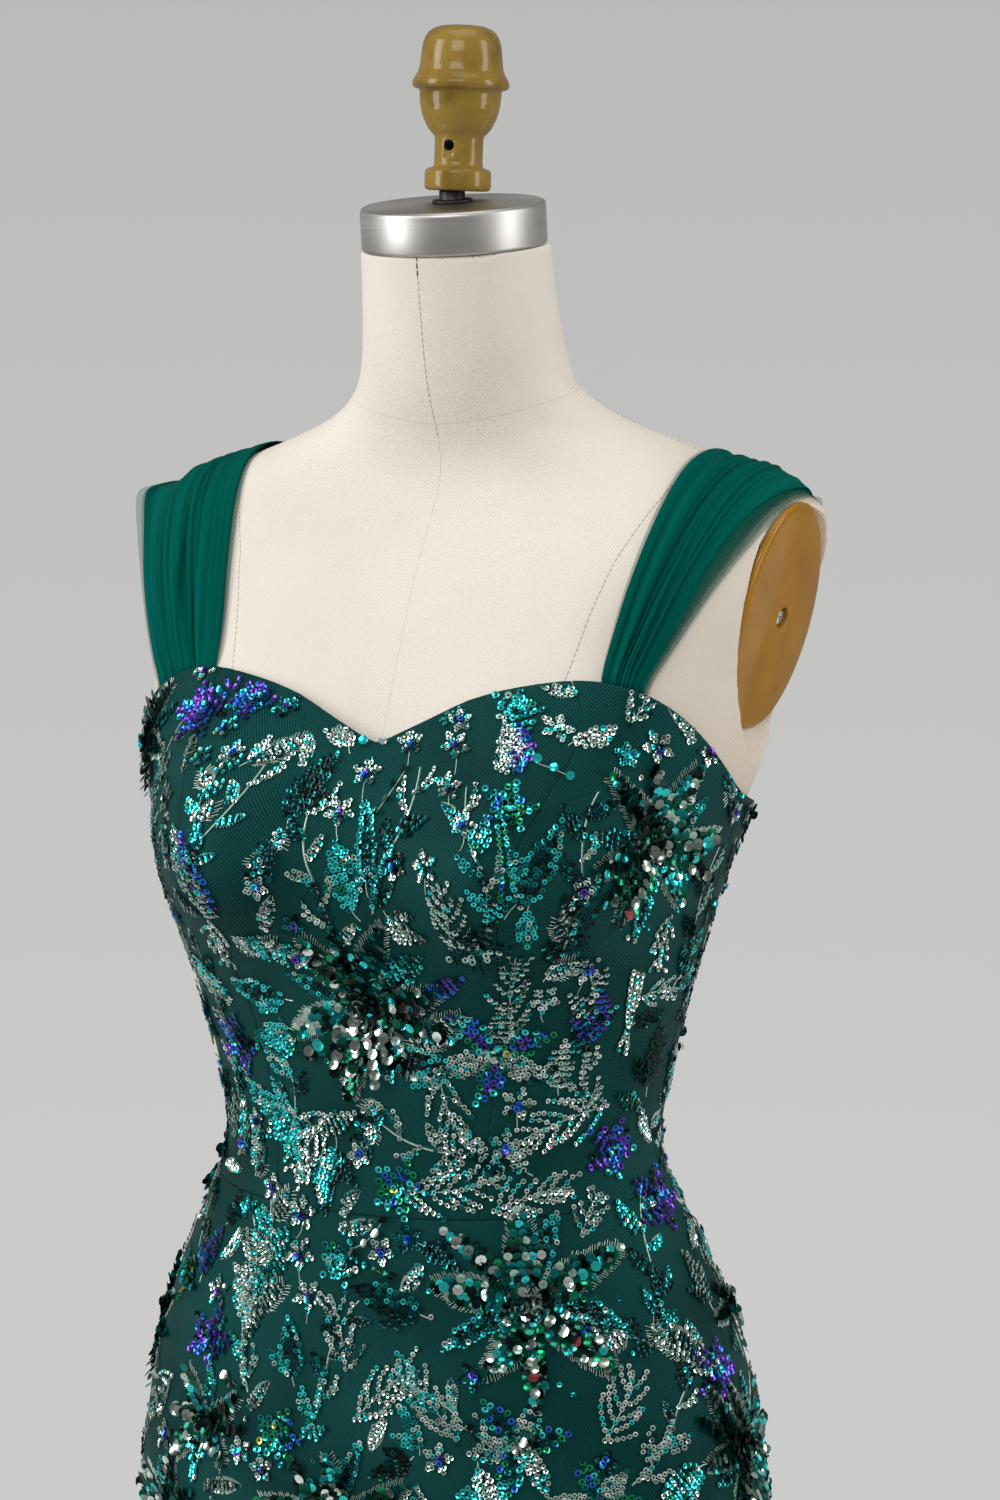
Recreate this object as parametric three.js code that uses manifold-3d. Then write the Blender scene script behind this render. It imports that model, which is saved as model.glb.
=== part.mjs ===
// A short fitted dress with a sweetheart neckline and wide gathered shoulder straps, worn by a limbless
// dress form on a round stand. Millimetres, +Z up. The dress faces -Y, the wearer's left is +X, and the
// origin is the middle of the stand's base, on the floor. Heights called "up" are measured from the waist.
//
// Each cut piece of the dress is a thin closed wall of its own. Its points come from one body surface,
// given by a table of sections, moved out by the piece's ease. The straps are bands through a few
// stations, with their gathers raised across them.
import * as THREE from "three";
import { mergeVertices } from "three/addons/utils/BufferGeometryUtils.js";
import Module from "manifold-3d";

const wasm = await Module();
wasm.setup();

// ---------------------------------------------------------------- driving dimensions, in millimetres

const WAIST_Z = 1040; // the waist above the floor
const SEAM_GAP = 0.3; // between neighbouring pieces
const EASE = 3; // air between the form and the dress
const WALL = { bodice: 2.2, skirt: 1.8, strap: 1.1 };

// The form from its lower end to the top of its neck. "side" is half the width, "front" and "back" are
// the depths before and behind the section's centre, "lean" is how far that centre lies behind the
// stand's axis. "square" and "backSquare" are 2 for an ellipse, and more for a fuller front or back.
const SECTIONS = [
  { up: -330, side: 159, front: 94, back: 104, lean: 8, square: 2.2, backSquare: 2.2 },
  { up: -260, side: 174, front: 101, back: 118, lean: 8, square: 2.2, backSquare: 2.2 },
  { up: -200, side: 177, front: 104, back: 121, lean: 8, square: 2.2, backSquare: 2.2 },
  { up: -140, side: 170, front: 101, back: 114, lean: 9, square: 2.2, backSquare: 2.2 },
  { up: -80, side: 154, front: 96, back: 98, lean: 8, square: 2.15, backSquare: 2.15 },
  { up: -35, side: 135, front: 90, back: 84, lean: 6, square: 2.1, backSquare: 2.1 },
  { up: 0, side: 118, front: 85, back: 76, lean: 2, square: 2.05, backSquare: 2.05 },
  { up: 40, side: 124, front: 87, back: 78, lean: 3, square: 2.05, backSquare: 2.05 },
  { up: 100, side: 138, front: 93, back: 94, lean: 0, square: 2.1, backSquare: 2.1 },
  { up: 160, side: 156, front: 98, back: 106, lean: 3, square: 2.2, backSquare: 2.2 },
  { up: 210, side: 171, front: 92, back: 103, lean: 13, square: 2.35, backSquare: 2.6 },
  { up: 260, side: 178, front: 84, back: 92, lean: 25, square: 2.7, backSquare: 3.4 },
  { up: 310, side: 190, front: 78, back: 76, lean: 42, square: 3.0, backSquare: 4.4 },
  { up: 345, side: 194, front: 75, back: 44, lean: 63, square: 2.8, backSquare: 3.8 },
  { up: 360, side: 175, front: 70, back: 39, lean: 67, square: 2.5, backSquare: 3.0 },
  { up: 374, side: 136, front: 68, back: 38, lean: 66, square: 2.2, backSquare: 2.2 },
  { up: 389, side: 96, front: 64, back: 43, lean: 57, square: 2.0, backSquare: 2.0 },
  { up: 402, side: 70, front: 56, back: 48, lean: 42, square: 2.0, backSquare: 2.0 },
  { up: 418, side: 58, front: 53, back: 52, lean: 32, square: 2.0, backSquare: 2.0 },
  { up: 450, side: 54, front: 52, back: 52, lean: 25, square: 2.0, backSquare: 2.0 },
  { up: 520, side: 50, front: 50, back: 50, lean: 12, square: 2.0, backSquare: 2.0 },
];
const FORM_LEVELS = [-330, -262, -198, -140, -100, -66, -36, -10, 12, 36, 70, 102, 126, 146, 164, 182, 200,
  220, 242, 264, 286, 308, 328, 345, 356, 365, 373, 381, 389, 398, 412, 435, 475, 520];
const FORM_TURNS = 40;
const BUST = { x: 86, up: 168, wide: 54, above: 66, below: 54, rise: 46 };
const BRIDGE = { rise: 12, wide: 34, tall: 60 }; // how the dress spans the hollow between the cups
const ARM_CUT = { out: 173, back: 46, up: 291, faceDown: 14, faceForward: 6 }; // degrees from sideways
const NECK_CUT = { up: 487, back: 17, tilt: 7 };

// The dress's edges and seams. Turn is in degrees round the body, 0 at the centre front and 180 behind.
const NECKLINE = [
  { turn: 0, up: 226 },
  { turn: 10, up: 250 },
  { turn: 20, up: 259 },
  { turn: 30, up: 262 },
  { turn: 42, up: 257 },
  { turn: 56, up: 244 },
  { turn: 72, up: 221 },
  { turn: 91, up: 196 },
  { turn: 130, up: 186 },
  { turn: 180, up: 182 },
];
const WAIST_SEAM = { up: -14, dip: 12 }; // it dips at the centre front
const HEM_UP = -450;
const PRINCESS = { waist: 29, bust: 33, top: 36 }; // turn of the seam over each cup
const SIDE_SEAM = 92;
const SKIRT_FREE = [
  { up: -450, side: 164, front: 102, back: 113, lean: 8, square: 2.2, backSquare: 2.2 },
  { up: -330, side: 170, front: 103, back: 118, lean: 8, square: 2.2, backSquare: 2.2 },
];

// A strap's edges: its turn round the body at the front and back rims, and where it crosses the shoulder.
const STRAP = { stations: 25, gathers: 6, perGather: 4, clear: 3.4 };
const STRAP_EDGES = [
  { across: 0, frontTurn: 34, shoulder: 133, backTurn: 150 },
  { across: 1, frontTurn: 46, shoulder: 196, backTurn: 128 },
];
const STRAP_GATHER = [
  { along: 0, depth: 2.3 },
  { along: 0.5, depth: 1.3 },
  { along: 1, depth: 2.3 },
];

const ZIP = { up: -190, below: 4, halfWidth: 11, wall: 0.9, inset: 2, rows: 16 };
const SLIDER = { wide: 6, tall: 9, thick: 2, below: 3 };
const BRIDGE_BAR = { wide: 1.6, tall: 7, thick: 0.8, reach: 2.6, inside: 4 };
const TAB = { wide: 5, tall: 24, thick: 1, eye: 4.4, eyeWide: 2.4 };

// Turned pieces: radius and height, from the bottom up.
const CAP_PROFILE = [[0, 0], [49.4, 0], [50.4, 1.5], [50.4, 20.5], [49.2, 22.3], [44, 23.4], [0, 24]];
const BOLT_PROFILE = [[0, 0], [11, 0], [11, 6], [0, 6]];
const KNOB_PROFILE = [[0, 0], [16.5, 0], [18, 1.5], [18, 12], [16, 14.6], [13.3, 15.2], [13.2, 31.5],
  [17, 38.5], [20, 44], [21.8, 50.7], [22.2, 56], [25.4, 57], [26.3, 59], [25.2, 62], [22.9, 64], [22, 73.6],
  [20.4, 81.8], [17, 87.3], [12, 89.8], [0, 90.5]];
const KNOB = { up: 519.1, back: 17, hole: 2.8, holeUp: 25 };
const PLATE = { wide: 43, tall: 63, screwSeat: 2.6, hole: 5.6 };
const PLATE_PROFILE = [[0, 0], [0.98, 0], [1, 1], [1, 2.8], [0.97, 3.8], [0.8, 5.1], [0.5, 6.3], [0.2, 6.9],
  [0, 7]]; // radius as a share of the plate's half size
const PLATE_RECESS = { margin: 1.5, out: 40, flare: 30 }; // where the body stands proud round a plate
const SCREW_PROFILE = [[0, 0], [4.9, 0], [4.9, 1.5], [3.6, 2.4], [0, 2.7]];
const COLLAR_PROFILE = [[0, 0], [20, 0], [22, 4], [24, 26], [46, 34], [48, 37], [48, 40], [0, 40]];
const POLE = { radius: 15 };
const BASE_PROFILE = [[0, 0], [208, 0], [212, 3], [212, 9], [206, 14], [60, 20], [40, 24], [32, 34], [30, 46],
  [26, 48], [0, 48]];

// ---------------------------------------------------------------- shared working

const radians = THREE.MathUtils.degToRad;
const mix = THREE.MathUtils.lerp;

// A smooth curve through a table's rows: the value of one column where the row's key has this value.
function along(table, key, column, at) {
  const last = table.length - 1;
  const clamped = THREE.MathUtils.clamp(at, table[0][key], table[last][key]);
  let i = 0;
  while (i < last - 1 && clamped > table[i + 1][key]) i += 1;
  const slope = (k) => {
    const a = table[Math.max(k - 1, 0)];
    const b = table[Math.min(k + 1, last)];
    return (b[column] - a[column]) / (b[key] - a[key]);
  };
  const step = table[i + 1][key] - table[i][key];
  const t = (clamped - table[i][key]) / step;
  const [p, q] = [table[i][column], table[i + 1][column]];
  const [mp, mq] = [slope(i) * step, slope(i + 1) * step];
  return p + t * (mp + t * (3 * (q - p) - 2 * mp - mq + t * (2 * (p - q) + mp + mq)));
}

const DRESSED = [...SKIRT_FREE, ...SECTIONS.slice(1)];

function section(up, table) {
  const read = (column) => along(table, "up", column, up);
  const [side, front, back] = [read("side"), read("front"), read("back")];
  const [lean, square, backSquare] = [read("lean"), read("square"), read("backSquare")];
  return { side, front, back, lean, square, backSquare };
}

const bump = (distance) => Math.exp(-distance * distance);

// How far the cups stand forward of the plain section.
function bustRise(x, up) {
  const tall = up > BUST.up ? BUST.above : BUST.below;
  return BUST.rise * bump((up - BUST.up) / tall) * bump((Math.abs(x) - BUST.x) / BUST.wide);
}

// A point of the body, moved out by ease. Turn is in radians, and the left side is positive.
function bodyPoint(turn, up, ease, table = SECTIONS) {
  const s = section(up, table);
  const ahead = Math.cos(turn) > 0;
  const power = (v) => Math.sign(v) * Math.abs(v) ** (2 / (ahead ? s.square : s.backSquare));
  const x = (s.side + ease) * power(Math.sin(turn));
  const depth = ahead ? s.front : s.back;
  const facing = THREE.MathUtils.smoothstep(Math.cos(turn), 0, 0.6);
  const y = s.lean - (depth + ease) * power(Math.cos(turn)) - facing * bustRise(x, up);
  return new THREE.Vector3(x, y, up);
}

// The same for the dress, which spans the hollow between the cups.
function dressPoint(turn, up, ease) {
  const p = bodyPoint(turn, up, ease, DRESSED);
  if (Math.cos(turn) > 0) p.y -= BRIDGE.rise * bump(p.x / BRIDGE.wide) * bump((up - BUST.up) / BRIDGE.tall);
  return p;
}

// A closed geometry from an outer and an inner grid of points, joined round their edges.
function wallBetween(outer, inner) {
  const rows = outer.length;
  const columns = outer[0].length;
  const positions = [...outer.flat(), ...inner.flat()].flatMap((p) => [p.x, p.y, p.z]);
  const at = (layer, row, column) => (layer * rows + row) * columns + column;
  const faces = [];
  const quad = (a, b, c, d) => faces.push(a, b, c, a, c, d);
  for (let r = 0; r < rows - 1; r += 1) {
    for (let c = 0; c < columns - 1; c += 1) {
      quad(at(0, r, c), at(0, r, c + 1), at(0, r + 1, c + 1), at(0, r + 1, c));
      quad(at(1, r, c), at(1, r + 1, c), at(1, r + 1, c + 1), at(1, r, c + 1));
    }
  }
  for (let c = 0; c < columns - 1; c += 1) {
    quad(at(1, 0, c), at(1, 0, c + 1), at(0, 0, c + 1), at(0, 0, c));
    quad(at(0, rows - 1, c), at(0, rows - 1, c + 1), at(1, rows - 1, c + 1), at(1, rows - 1, c));
  }
  for (let r = 0; r < rows - 1; r += 1) {
    quad(at(0, r, 0), at(0, r + 1, 0), at(1, r + 1, 0), at(1, r, 0));
    quad(at(1, r, columns - 1), at(1, r + 1, columns - 1), at(0, r + 1, columns - 1), at(0, r, columns - 1));
  }
  const geometry = new THREE.BufferGeometry();
  geometry.setAttribute("position", new THREE.Float32BufferAttribute(positions, 3));
  geometry.setIndex(faces);
  return geometry;
}

// Booleans, through manifold-3d and back.
function toSolid(geometry) {
  const bare = geometry.clone();
  bare.deleteAttribute("normal");
  bare.deleteAttribute("uv");
  const merged = mergeVertices(bare, 1e-3);
  const vertProperties = new Float32Array(merged.attributes.position.array);
  const triVerts = new Uint32Array(merged.index.array);
  return new wasm.Manifold(new wasm.Mesh({ numProp: 3, vertProperties, triVerts }));
}

function toGeometry(solid) {
  const mesh = solid.getMesh();
  const geometry = new THREE.BufferGeometry();
  geometry.setAttribute("position", new THREE.Float32BufferAttribute(mesh.vertProperties, 3));
  geometry.setIndex(new THREE.BufferAttribute(mesh.triVerts, 1));
  return geometry;
}

// A profile of radius and height turned about +Z.
function turned(profile, turns) {
  const points = profile.map(([radius, height]) => new THREE.Vector2(radius, height));
  return new THREE.LatheGeometry(points, turns).rotateX(Math.PI / 2);
}

// ---------------------------------------------------------------- materials

function material(color, roughness, metalness = 0) {
  return new THREE.MeshStandardMaterial({ color, roughness, metalness });
}
const MATERIALS = {
  cloth: material(0x0f4a42, 0.75),
  tulle: material(0x0a6a54, 0.8),
  linen: material(0xe6ddcf, 0.9),
  steel: material(0xa8a8a8, 0.35, 1),
  lacquer: material(0x9c7a2e, 0.35),
  black: material(0x1c1c1c, 0.5),
};

const model = new THREE.Group();
const torso = new THREE.Group(); // everything measured from the waist
torso.position.z = WAIST_Z;
model.add(torso);

function add(group, name, geometry, finish) {
  const mesh = new THREE.Mesh(geometry, finish);
  mesh.name = name;
  group.add(mesh);
  return mesh;
}

// ---------------------------------------------------------------- the dress's panels

// Turns of the upright seams at a height.
const princess = (up) => radians(up < BUST.up
  ? mix(PRINCESS.waist, PRINCESS.bust, THREE.MathUtils.clamp(up / BUST.up, 0, 1))
  : mix(PRINCESS.bust, PRINCESS.top, (up - BUST.up) / 90));
const sideSeam = () => radians(SIDE_SEAM);
const otherSide = () => -radians(SIDE_SEAM);
const backSeam = () => Math.PI;

// Heights of the edges at a turn.
const neckline = (turn) => along(NECKLINE, "turn", "up", Math.abs(THREE.MathUtils.radToDeg(turn)));
const waistSeam = (turn) => WAIST_SEAM.up - WAIST_SEAM.dip * Math.cos(turn);
const skirtTop = (turn) => waistSeam(turn) - SEAM_GAP / 2;
const hem = () => HEM_UP;

// The turn that moves a point of the dress by this distance round the body.
function turnFor(distance, turn, up) {
  const step = 0.01;
  const before = dressPoint(turn - step, up, EASE);
  const after = dressPoint(turn + step, up, EASE);
  return (distance * 2 * step) / after.distanceTo(before);
}

function panel(name, { from, to, low, high, columns, rows, wall, mirror = 1 }) {
  const place = (s, v, ease) => {
    let up = mix(low(0), high(0), v);
    let turn = 0;
    for (let pass = 0; pass < 4; pass += 1) {
      const [a, b] = [from(up), to(up)];
      turn = mix(a + turnFor(SEAM_GAP / 2, a, up), b - turnFor(SEAM_GAP / 2, b, up), s);
      up = mix(low(turn) + SEAM_GAP / 2, high(turn), v);
    }
    return dressPoint(mirror * turn, up, ease);
  };
  const grid = (ease) => Array.from({ length: rows + 1 }, (_, r) =>
    Array.from({ length: columns + 1 }, (_, c) => {
      const s = mirror > 0 ? c / columns : 1 - c / columns;
      return place(s, r / rows, ease);
    }));
  return add(torso, name, wallBetween(grid(EASE + wall), grid(EASE)), MATERIALS.cloth);
}

const BODICE_RUN = { low: waistSeam, high: neckline, wall: WALL.bodice };
const SKIRT_RUN = { low: hem, high: skirtTop, wall: WALL.skirt };
panel("bodice_front", { from: (up) => -princess(up), to: princess, ...BODICE_RUN, columns: 14, rows: 14 });
panel("skirt_front", { from: otherSide, to: sideSeam, ...SKIRT_RUN, columns: 20, rows: 14 });
for (const [hand, mirror] of [["left", 1], ["right", -1]]) {
  const sideFront = { from: princess, to: sideSeam, ...BODICE_RUN, columns: 8, rows: 14, mirror };
  panel(`bodice_side_front_${hand}`, sideFront);
  const back = { from: sideSeam, to: backSeam, mirror, columns: 9 };
  panel(`bodice_back_${hand}`, { ...back, ...BODICE_RUN, rows: 10 });
  panel(`skirt_back_${hand}`, { ...back, ...SKIRT_RUN, rows: 14 });
}

// ---------------------------------------------------------------- the zip

const tapeTop = neckline(Math.PI) - ZIP.below;
const tapeGrid = (ease) => Array.from({ length: ZIP.rows + 1 }, (_, r) => {
  const up = mix(ZIP.up, tapeTop, r / ZIP.rows);
  const turnTo = (share) => Math.PI + turnFor(share * ZIP.halfWidth, Math.PI, up);
  return [-1, -0.33, 0.33, 1].map((share) => dressPoint(turnTo(share), up, ease));
});
add(torso, "zip_tape", wallBetween(tapeGrid(ZIP.inset), tapeGrid(ZIP.inset - ZIP.wall)), MATERIALS.cloth);

// The slider lies on the closed seam, tipped as the back is. Its bridge holds the tab's cross bar.
const slide = new THREE.Group();
const sliderUp = neckline(Math.PI) - SLIDER.below - SLIDER.tall / 2;
const onBack = (up) => dressPoint(Math.PI, up, EASE + WALL.bodice + SEAM_GAP);
const upTheBack = onBack(sliderUp + SLIDER.tall / 2).sub(onBack(sliderUp - SLIDER.tall / 2));
slide.position.copy(onBack(sliderUp)).setX(0);
slide.rotation.x = Math.atan2(-upTheBack.y, upTheBack.z);
torso.add(slide);

// A flat shape in the slider's width and height, or in its depth and height, given its thickness.
function box(wide, deep, tall, y, z) {
  return toSolid(new THREE.BoxGeometry(wide, deep, tall).translate(0, y + deep / 2, z));
}
const opening = BRIDGE_BAR.reach - BRIDGE_BAR.thick;
const bridge = box(BRIDGE_BAR.wide, BRIDGE_BAR.reach + 0.5, BRIDGE_BAR.tall, SLIDER.thick - 0.5, 0)
  .subtract(box(BRIDGE_BAR.wide + 2, opening, BRIDGE_BAR.inside, SLIDER.thick, 0));
const plateOfSlider = box(SLIDER.wide, SLIDER.thick, SLIDER.tall, 0, 0);
add(slide, "zip_slider", toGeometry(plateOfSlider.add(bridge)), MATERIALS.black);

// The tab hangs from the middle of the bridge's opening.
const hinge = new THREE.Group();
hinge.position.set(0, SLIDER.thick + opening / 2, 0);
slide.add(hinge);
const barHalf = TAB.thick / 2;
const tabSolid = box(TAB.wide, TAB.thick, TAB.tall, -barHalf, barHalf - TAB.tall / 2)
  .subtract(box(TAB.eyeWide, 3, TAB.eye, -1.5, -barHalf - TAB.eye / 2));
const tab = add(hinge, "zip_pull", toGeometry(tabSolid), MATERIALS.black);
tab.rotation.x = -slide.rotation.x;

// ---------------------------------------------------------------- the straps

// The section of the body grown by the strap's clearance, sideways and upwards.
function grownSection(up) {
  const lifted = up - STRAP.clear * 1.3 * THREE.MathUtils.smoothstep(up, 300, 345);
  const s = section(lifted, SECTIONS);
  return { ...s, side: s.side + STRAP.clear, front: s.front + STRAP.clear, back: s.back + STRAP.clear };
}

// How far an arm plate reaches fore and aft of its middle at this height, with the same clearance.
function plateReach(up) {
  const rise = (up - ARM_CUT.up) / (PLATE.tall + STRAP.clear);
  return (PLATE.wide + STRAP.clear) * Math.sqrt(Math.max(1 - rise * rise, 0));
}

// Where that grown body closes over the shoulder at this distance from the middle.
function shoulderTop(x) {
  let [low, high] = [350, 398];
  for (let pass = 0; pass < 24; pass += 1) {
    const up = (low + high) / 2;
    if (grownSection(up).side > x) low = up;
    else high = up;
  }
  const plateTop = ARM_CUT.up + PLATE.tall + STRAP.clear;
  return Math.max(low, mix(0, plateTop, THREE.MathUtils.smoothstep(x, 150, 172)));
}

// Its depth at a width and height, in front (-1) or behind (1).
function surfaceY(x, up, facing) {
  const s = grownSection(up);
  const [depth, power] = facing < 0 ? [s.front, s.square] : [s.back, s.backSquare];
  const inside = Math.max(1 - Math.min(x / s.side, 1) ** power, 0) ** (1 / power);
  const body = facing * depth * inside + s.lean - (facing < 0 ? bustRise(x, up) : 0);
  const plate = ARM_CUT.back + facing * plateReach(up) * THREE.MathUtils.smoothstep(x, 150, 168);
  return facing < 0 ? Math.min(body, plate) : Math.max(body, plate);
}

// One taut line of the strap, from the front rim over the shoulder to the back rim.
function tautLine(across) {
  const [inner, outer] = STRAP_EDGES;
  const read = (column) => mix(inner[column], outer[column], across);
  const ends = [radians(read("frontTurn")), radians(read("backTurn"))].map((turn) =>
    dressPoint(turn, neckline(turn) + SEAM_GAP, EASE + WALL.bodice / 2));
  const ridge = read("shoulder");
  const top = shoulderTop(ridge);
  const climb = (end, facing) => Array.from({ length: 60 }, (_, i) => {
    const t = i / 60;
    const up = mix(end.z, top, t);
    const x = mix(end.x, ridge, t);
    return new THREE.Vector3(x, surfaceY(x, up, facing), up);
  });
  const over = [ends[0], ...climb(ends[0], -1).slice(4), ...climb(ends[1], 1).slice(4).reverse(), ends[1]];
  const taut = [];
  for (const p of over) {
    while (taut.length > 1) {
      const [a, b] = taut.slice(-2);
      if ((b.y - a.y) * (p.z - b.z) - (b.z - a.z) * (p.y - b.y) < 0) break;
      taut.pop();
    }
    taut.push(p);
  }
  const line = new THREE.CurvePath();
  for (let i = 1; i < taut.length; i += 1) line.add(new THREE.LineCurve3(taut[i - 1], taut[i]));
  return line.getSpacedPoints(STRAP.stations);
}

function strap(name, mirror) {
  const columns = STRAP.gathers * STRAP.perGather;
  const lines = Array.from({ length: columns + 1 }, (_, c) => tautLine(c / columns));
  const clamp = THREE.MathUtils.clamp;
  const pick = (c, r) => lines[clamp(c, 0, columns)][clamp(r, 0, STRAP.stations)];
  const place = (c, r, offset) => {
    const acrossBand = pick(c + 3, r).clone().sub(pick(c - 3, r));
    const alongBand = pick(c, r + 1).clone().sub(pick(c, r - 1));
    const normal = acrossBand.cross(alongBand).normalize();
    const end = r === 0 || r === STRAP.stations;
    if (end) normal.setZ(0).normalize();
    const depth = along(STRAP_GATHER, "along", "depth", r / STRAP.stations);
    const raised = -depth * Math.cos((2 * Math.PI * c) / STRAP.perGather);
    const p = pick(c, r).clone().addScaledVector(normal, raised + offset);
    return p.setX(mirror * p.x);
  };
  const grid = (offset) => Array.from({ length: STRAP.stations + 1 }, (_, r) =>
    Array.from({ length: columns + 1 }, (_, i) => place(mirror > 0 ? i : columns - i, r, offset)));
  return add(torso, name, wallBetween(grid(WALL.strap / 2), grid(-WALL.strap / 2)), MATERIALS.tulle);
}

strap("strap_left", 1);
strap("strap_right", -1);

// ---------------------------------------------------------------- the form

function formBody() {
  const rings = FORM_LEVELS.map((up) => Array.from({ length: FORM_TURNS }, (_, i) =>
    bodyPoint((2 * Math.PI * i) / FORM_TURNS, up, 0)));
  const positions = rings.flat().flatMap((p) => [p.x, p.y, p.z]);
  const faces = [];
  const at = (r, i) => r * FORM_TURNS + (i % FORM_TURNS);
  for (let r = 0; r < rings.length - 1; r += 1) {
    for (let i = 0; i < FORM_TURNS; i += 1) {
      faces.push(at(r, i), at(r, i + 1), at(r + 1, i + 1), at(r, i), at(r + 1, i + 1), at(r + 1, i));
    }
  }
  for (const r of [0, rings.length - 1]) {
    const centre = positions.length / 3;
    positions.push(0, section(FORM_LEVELS[r], SECTIONS).lean, FORM_LEVELS[r]);
    for (let i = 0; i < FORM_TURNS; i += 1) {
      const rim = r === 0 ? [at(r, i + 1), at(r, i)] : [at(r, i), at(r, i + 1)];
      faces.push(centre, ...rim);
    }
  }
  const geometry = new THREE.BufferGeometry();
  geometry.setAttribute("position", new THREE.Float32BufferAttribute(positions, 3));
  geometry.setIndex(faces);
  return geometry;
}

// A frame whose +Z stands square off a cut face, at the middle of that face.
const armFrame = (mirror) => new THREE.Matrix4()
  .makeTranslation(mirror * ARM_CUT.out, ARM_CUT.back, ARM_CUT.up)
  .multiply(new THREE.Matrix4().makeRotationZ(-mirror * radians(ARM_CUT.faceForward)))
  .multiply(new THREE.Matrix4().makeRotationY(mirror * radians(90 + ARM_CUT.faceDown)));
const neckFrame = new THREE.Matrix4()
  .makeTranslation(0, NECK_CUT.back, NECK_CUT.up)
  .multiply(new THREE.Matrix4().makeRotationX(radians(NECK_CUT.tilt)));

// Rings of an oval, each with its half width, half height and distance along the frame's +Z.
function ovalSolid(frame, rings) {
  const stack = turned([[0, rings[0].out], ...rings.map((ring) => [1, ring.out]), [0, rings.at(-1).out]], 36);
  const points = stack.attributes.position;
  for (let i = 0; i < points.count; i += 1) {
    const ring = rings.find(({ out }) => Math.abs(out - points.getZ(i)) < 1e-3);
    points.setXY(i, points.getX(i) * ring.tall, points.getY(i) * ring.wide);
  }
  return toSolid(stack.applyMatrix4(frame));
}

const recess = (mirror) => ovalSolid(armFrame(mirror), [0, PLATE_RECESS.out].map((out) => {
  const wider = PLATE_RECESS.margin + (PLATE_RECESS.flare * out) / PLATE_RECESS.out;
  return { out, wide: PLATE.wide + wider, tall: PLATE.tall + wider };
}));
const aboveNeck = toSolid(new THREE.BoxGeometry(400, 400, 200).translate(0, 0, 100).applyMatrix4(neckFrame));
const cutBody = toSolid(formBody()).subtract(recess(1)).subtract(recess(-1)).subtract(aboveNeck);
add(torso, "form_body", toGeometry(cutBody), MATERIALS.linen);

const lift = (distance) => new THREE.Matrix4().makeTranslation(0, 0, distance);
const placed = (geometry, frame, distance) => geometry.applyMatrix4(frame.clone().multiply(lift(distance)));

add(torso, "neck_cap", placed(turned(CAP_PROFILE, 36), neckFrame, SEAM_GAP), MATERIALS.steel);
add(torso, "knob_bolt", placed(turned(BOLT_PROFILE, 16), neckFrame, 24 + 2 * SEAM_GAP), MATERIALS.black);

const knobHole = toSolid(new THREE.CylinderGeometry(KNOB.hole, KNOB.hole, 12, 10)
  .translate(0, -15, KNOB.holeUp));
const knobSolid = toSolid(turned(KNOB_PROFILE, 22)).subtract(knobHole);
const knob = add(torso, "knob", toGeometry(knobSolid), MATERIALS.lacquer);
knob.position.set(0, KNOB.back, KNOB.up);

const plateHole = toSolid(new THREE.CylinderGeometry(PLATE.hole, PLATE.hole, 10, 20)
  .rotateX(Math.PI / 2).translate(0, 0, PLATE.screwSeat + 5));
const plate = toSolid(turned(PLATE_PROFILE, 36).scale(PLATE.tall, PLATE.wide, 1)).subtract(plateHole);
for (const [hand, mirror] of [["left", 1], ["right", -1]]) {
  const frame = armFrame(mirror);
  add(torso, `arm_plate_${hand}`, placed(toGeometry(plate), frame, SEAM_GAP), MATERIALS.lacquer);
  const seat = PLATE.screwSeat + 2 * SEAM_GAP;
  add(torso, `plate_screw_${hand}`, placed(turned(SCREW_PROFILE, 16), frame, seat), MATERIALS.steel);
}

// ---------------------------------------------------------------- the stand

const formFoot = WAIST_Z + FORM_LEVELS[0];
const collarFoot = formFoot - SEAM_GAP - 40;
add(model, "stand_collar", turned(COLLAR_PROFILE, 28).translate(0, 0, collarFoot), MATERIALS.steel);
const poleFoot = 48 + SEAM_GAP;
const poleTop = collarFoot - SEAM_GAP;
const poleTall = poleTop - poleFoot;
const poleGeometry = new THREE.CylinderGeometry(POLE.radius, POLE.radius, poleTall, 24)
  .rotateX(Math.PI / 2)
  .translate(0, 0, poleFoot + poleTall / 2);
add(model, "stand_pole", poleGeometry, MATERIALS.steel);
add(model, "stand_base", turned(BASE_PROFILE, 40), MATERIALS.steel);

export default model;
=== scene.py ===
"""A short sequinned dress with gathered tulle straps, worn by a limbless dress form on a stand.

Everything is in metres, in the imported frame. The dress's cloth is laid on a smooth skin measured from
the frame's own cloth solids: a radius round an upright axis at each turn (0 at the centre front, positive
towards the wearer's left) and height. The embroidery is laid out flat, in millimetres, and set on that skin.
"""

import math

import bmesh
import bpy
import numpy as np
from mathutils import Matrix, Vector
from mathutils.bvhtree import BVHTree


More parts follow.
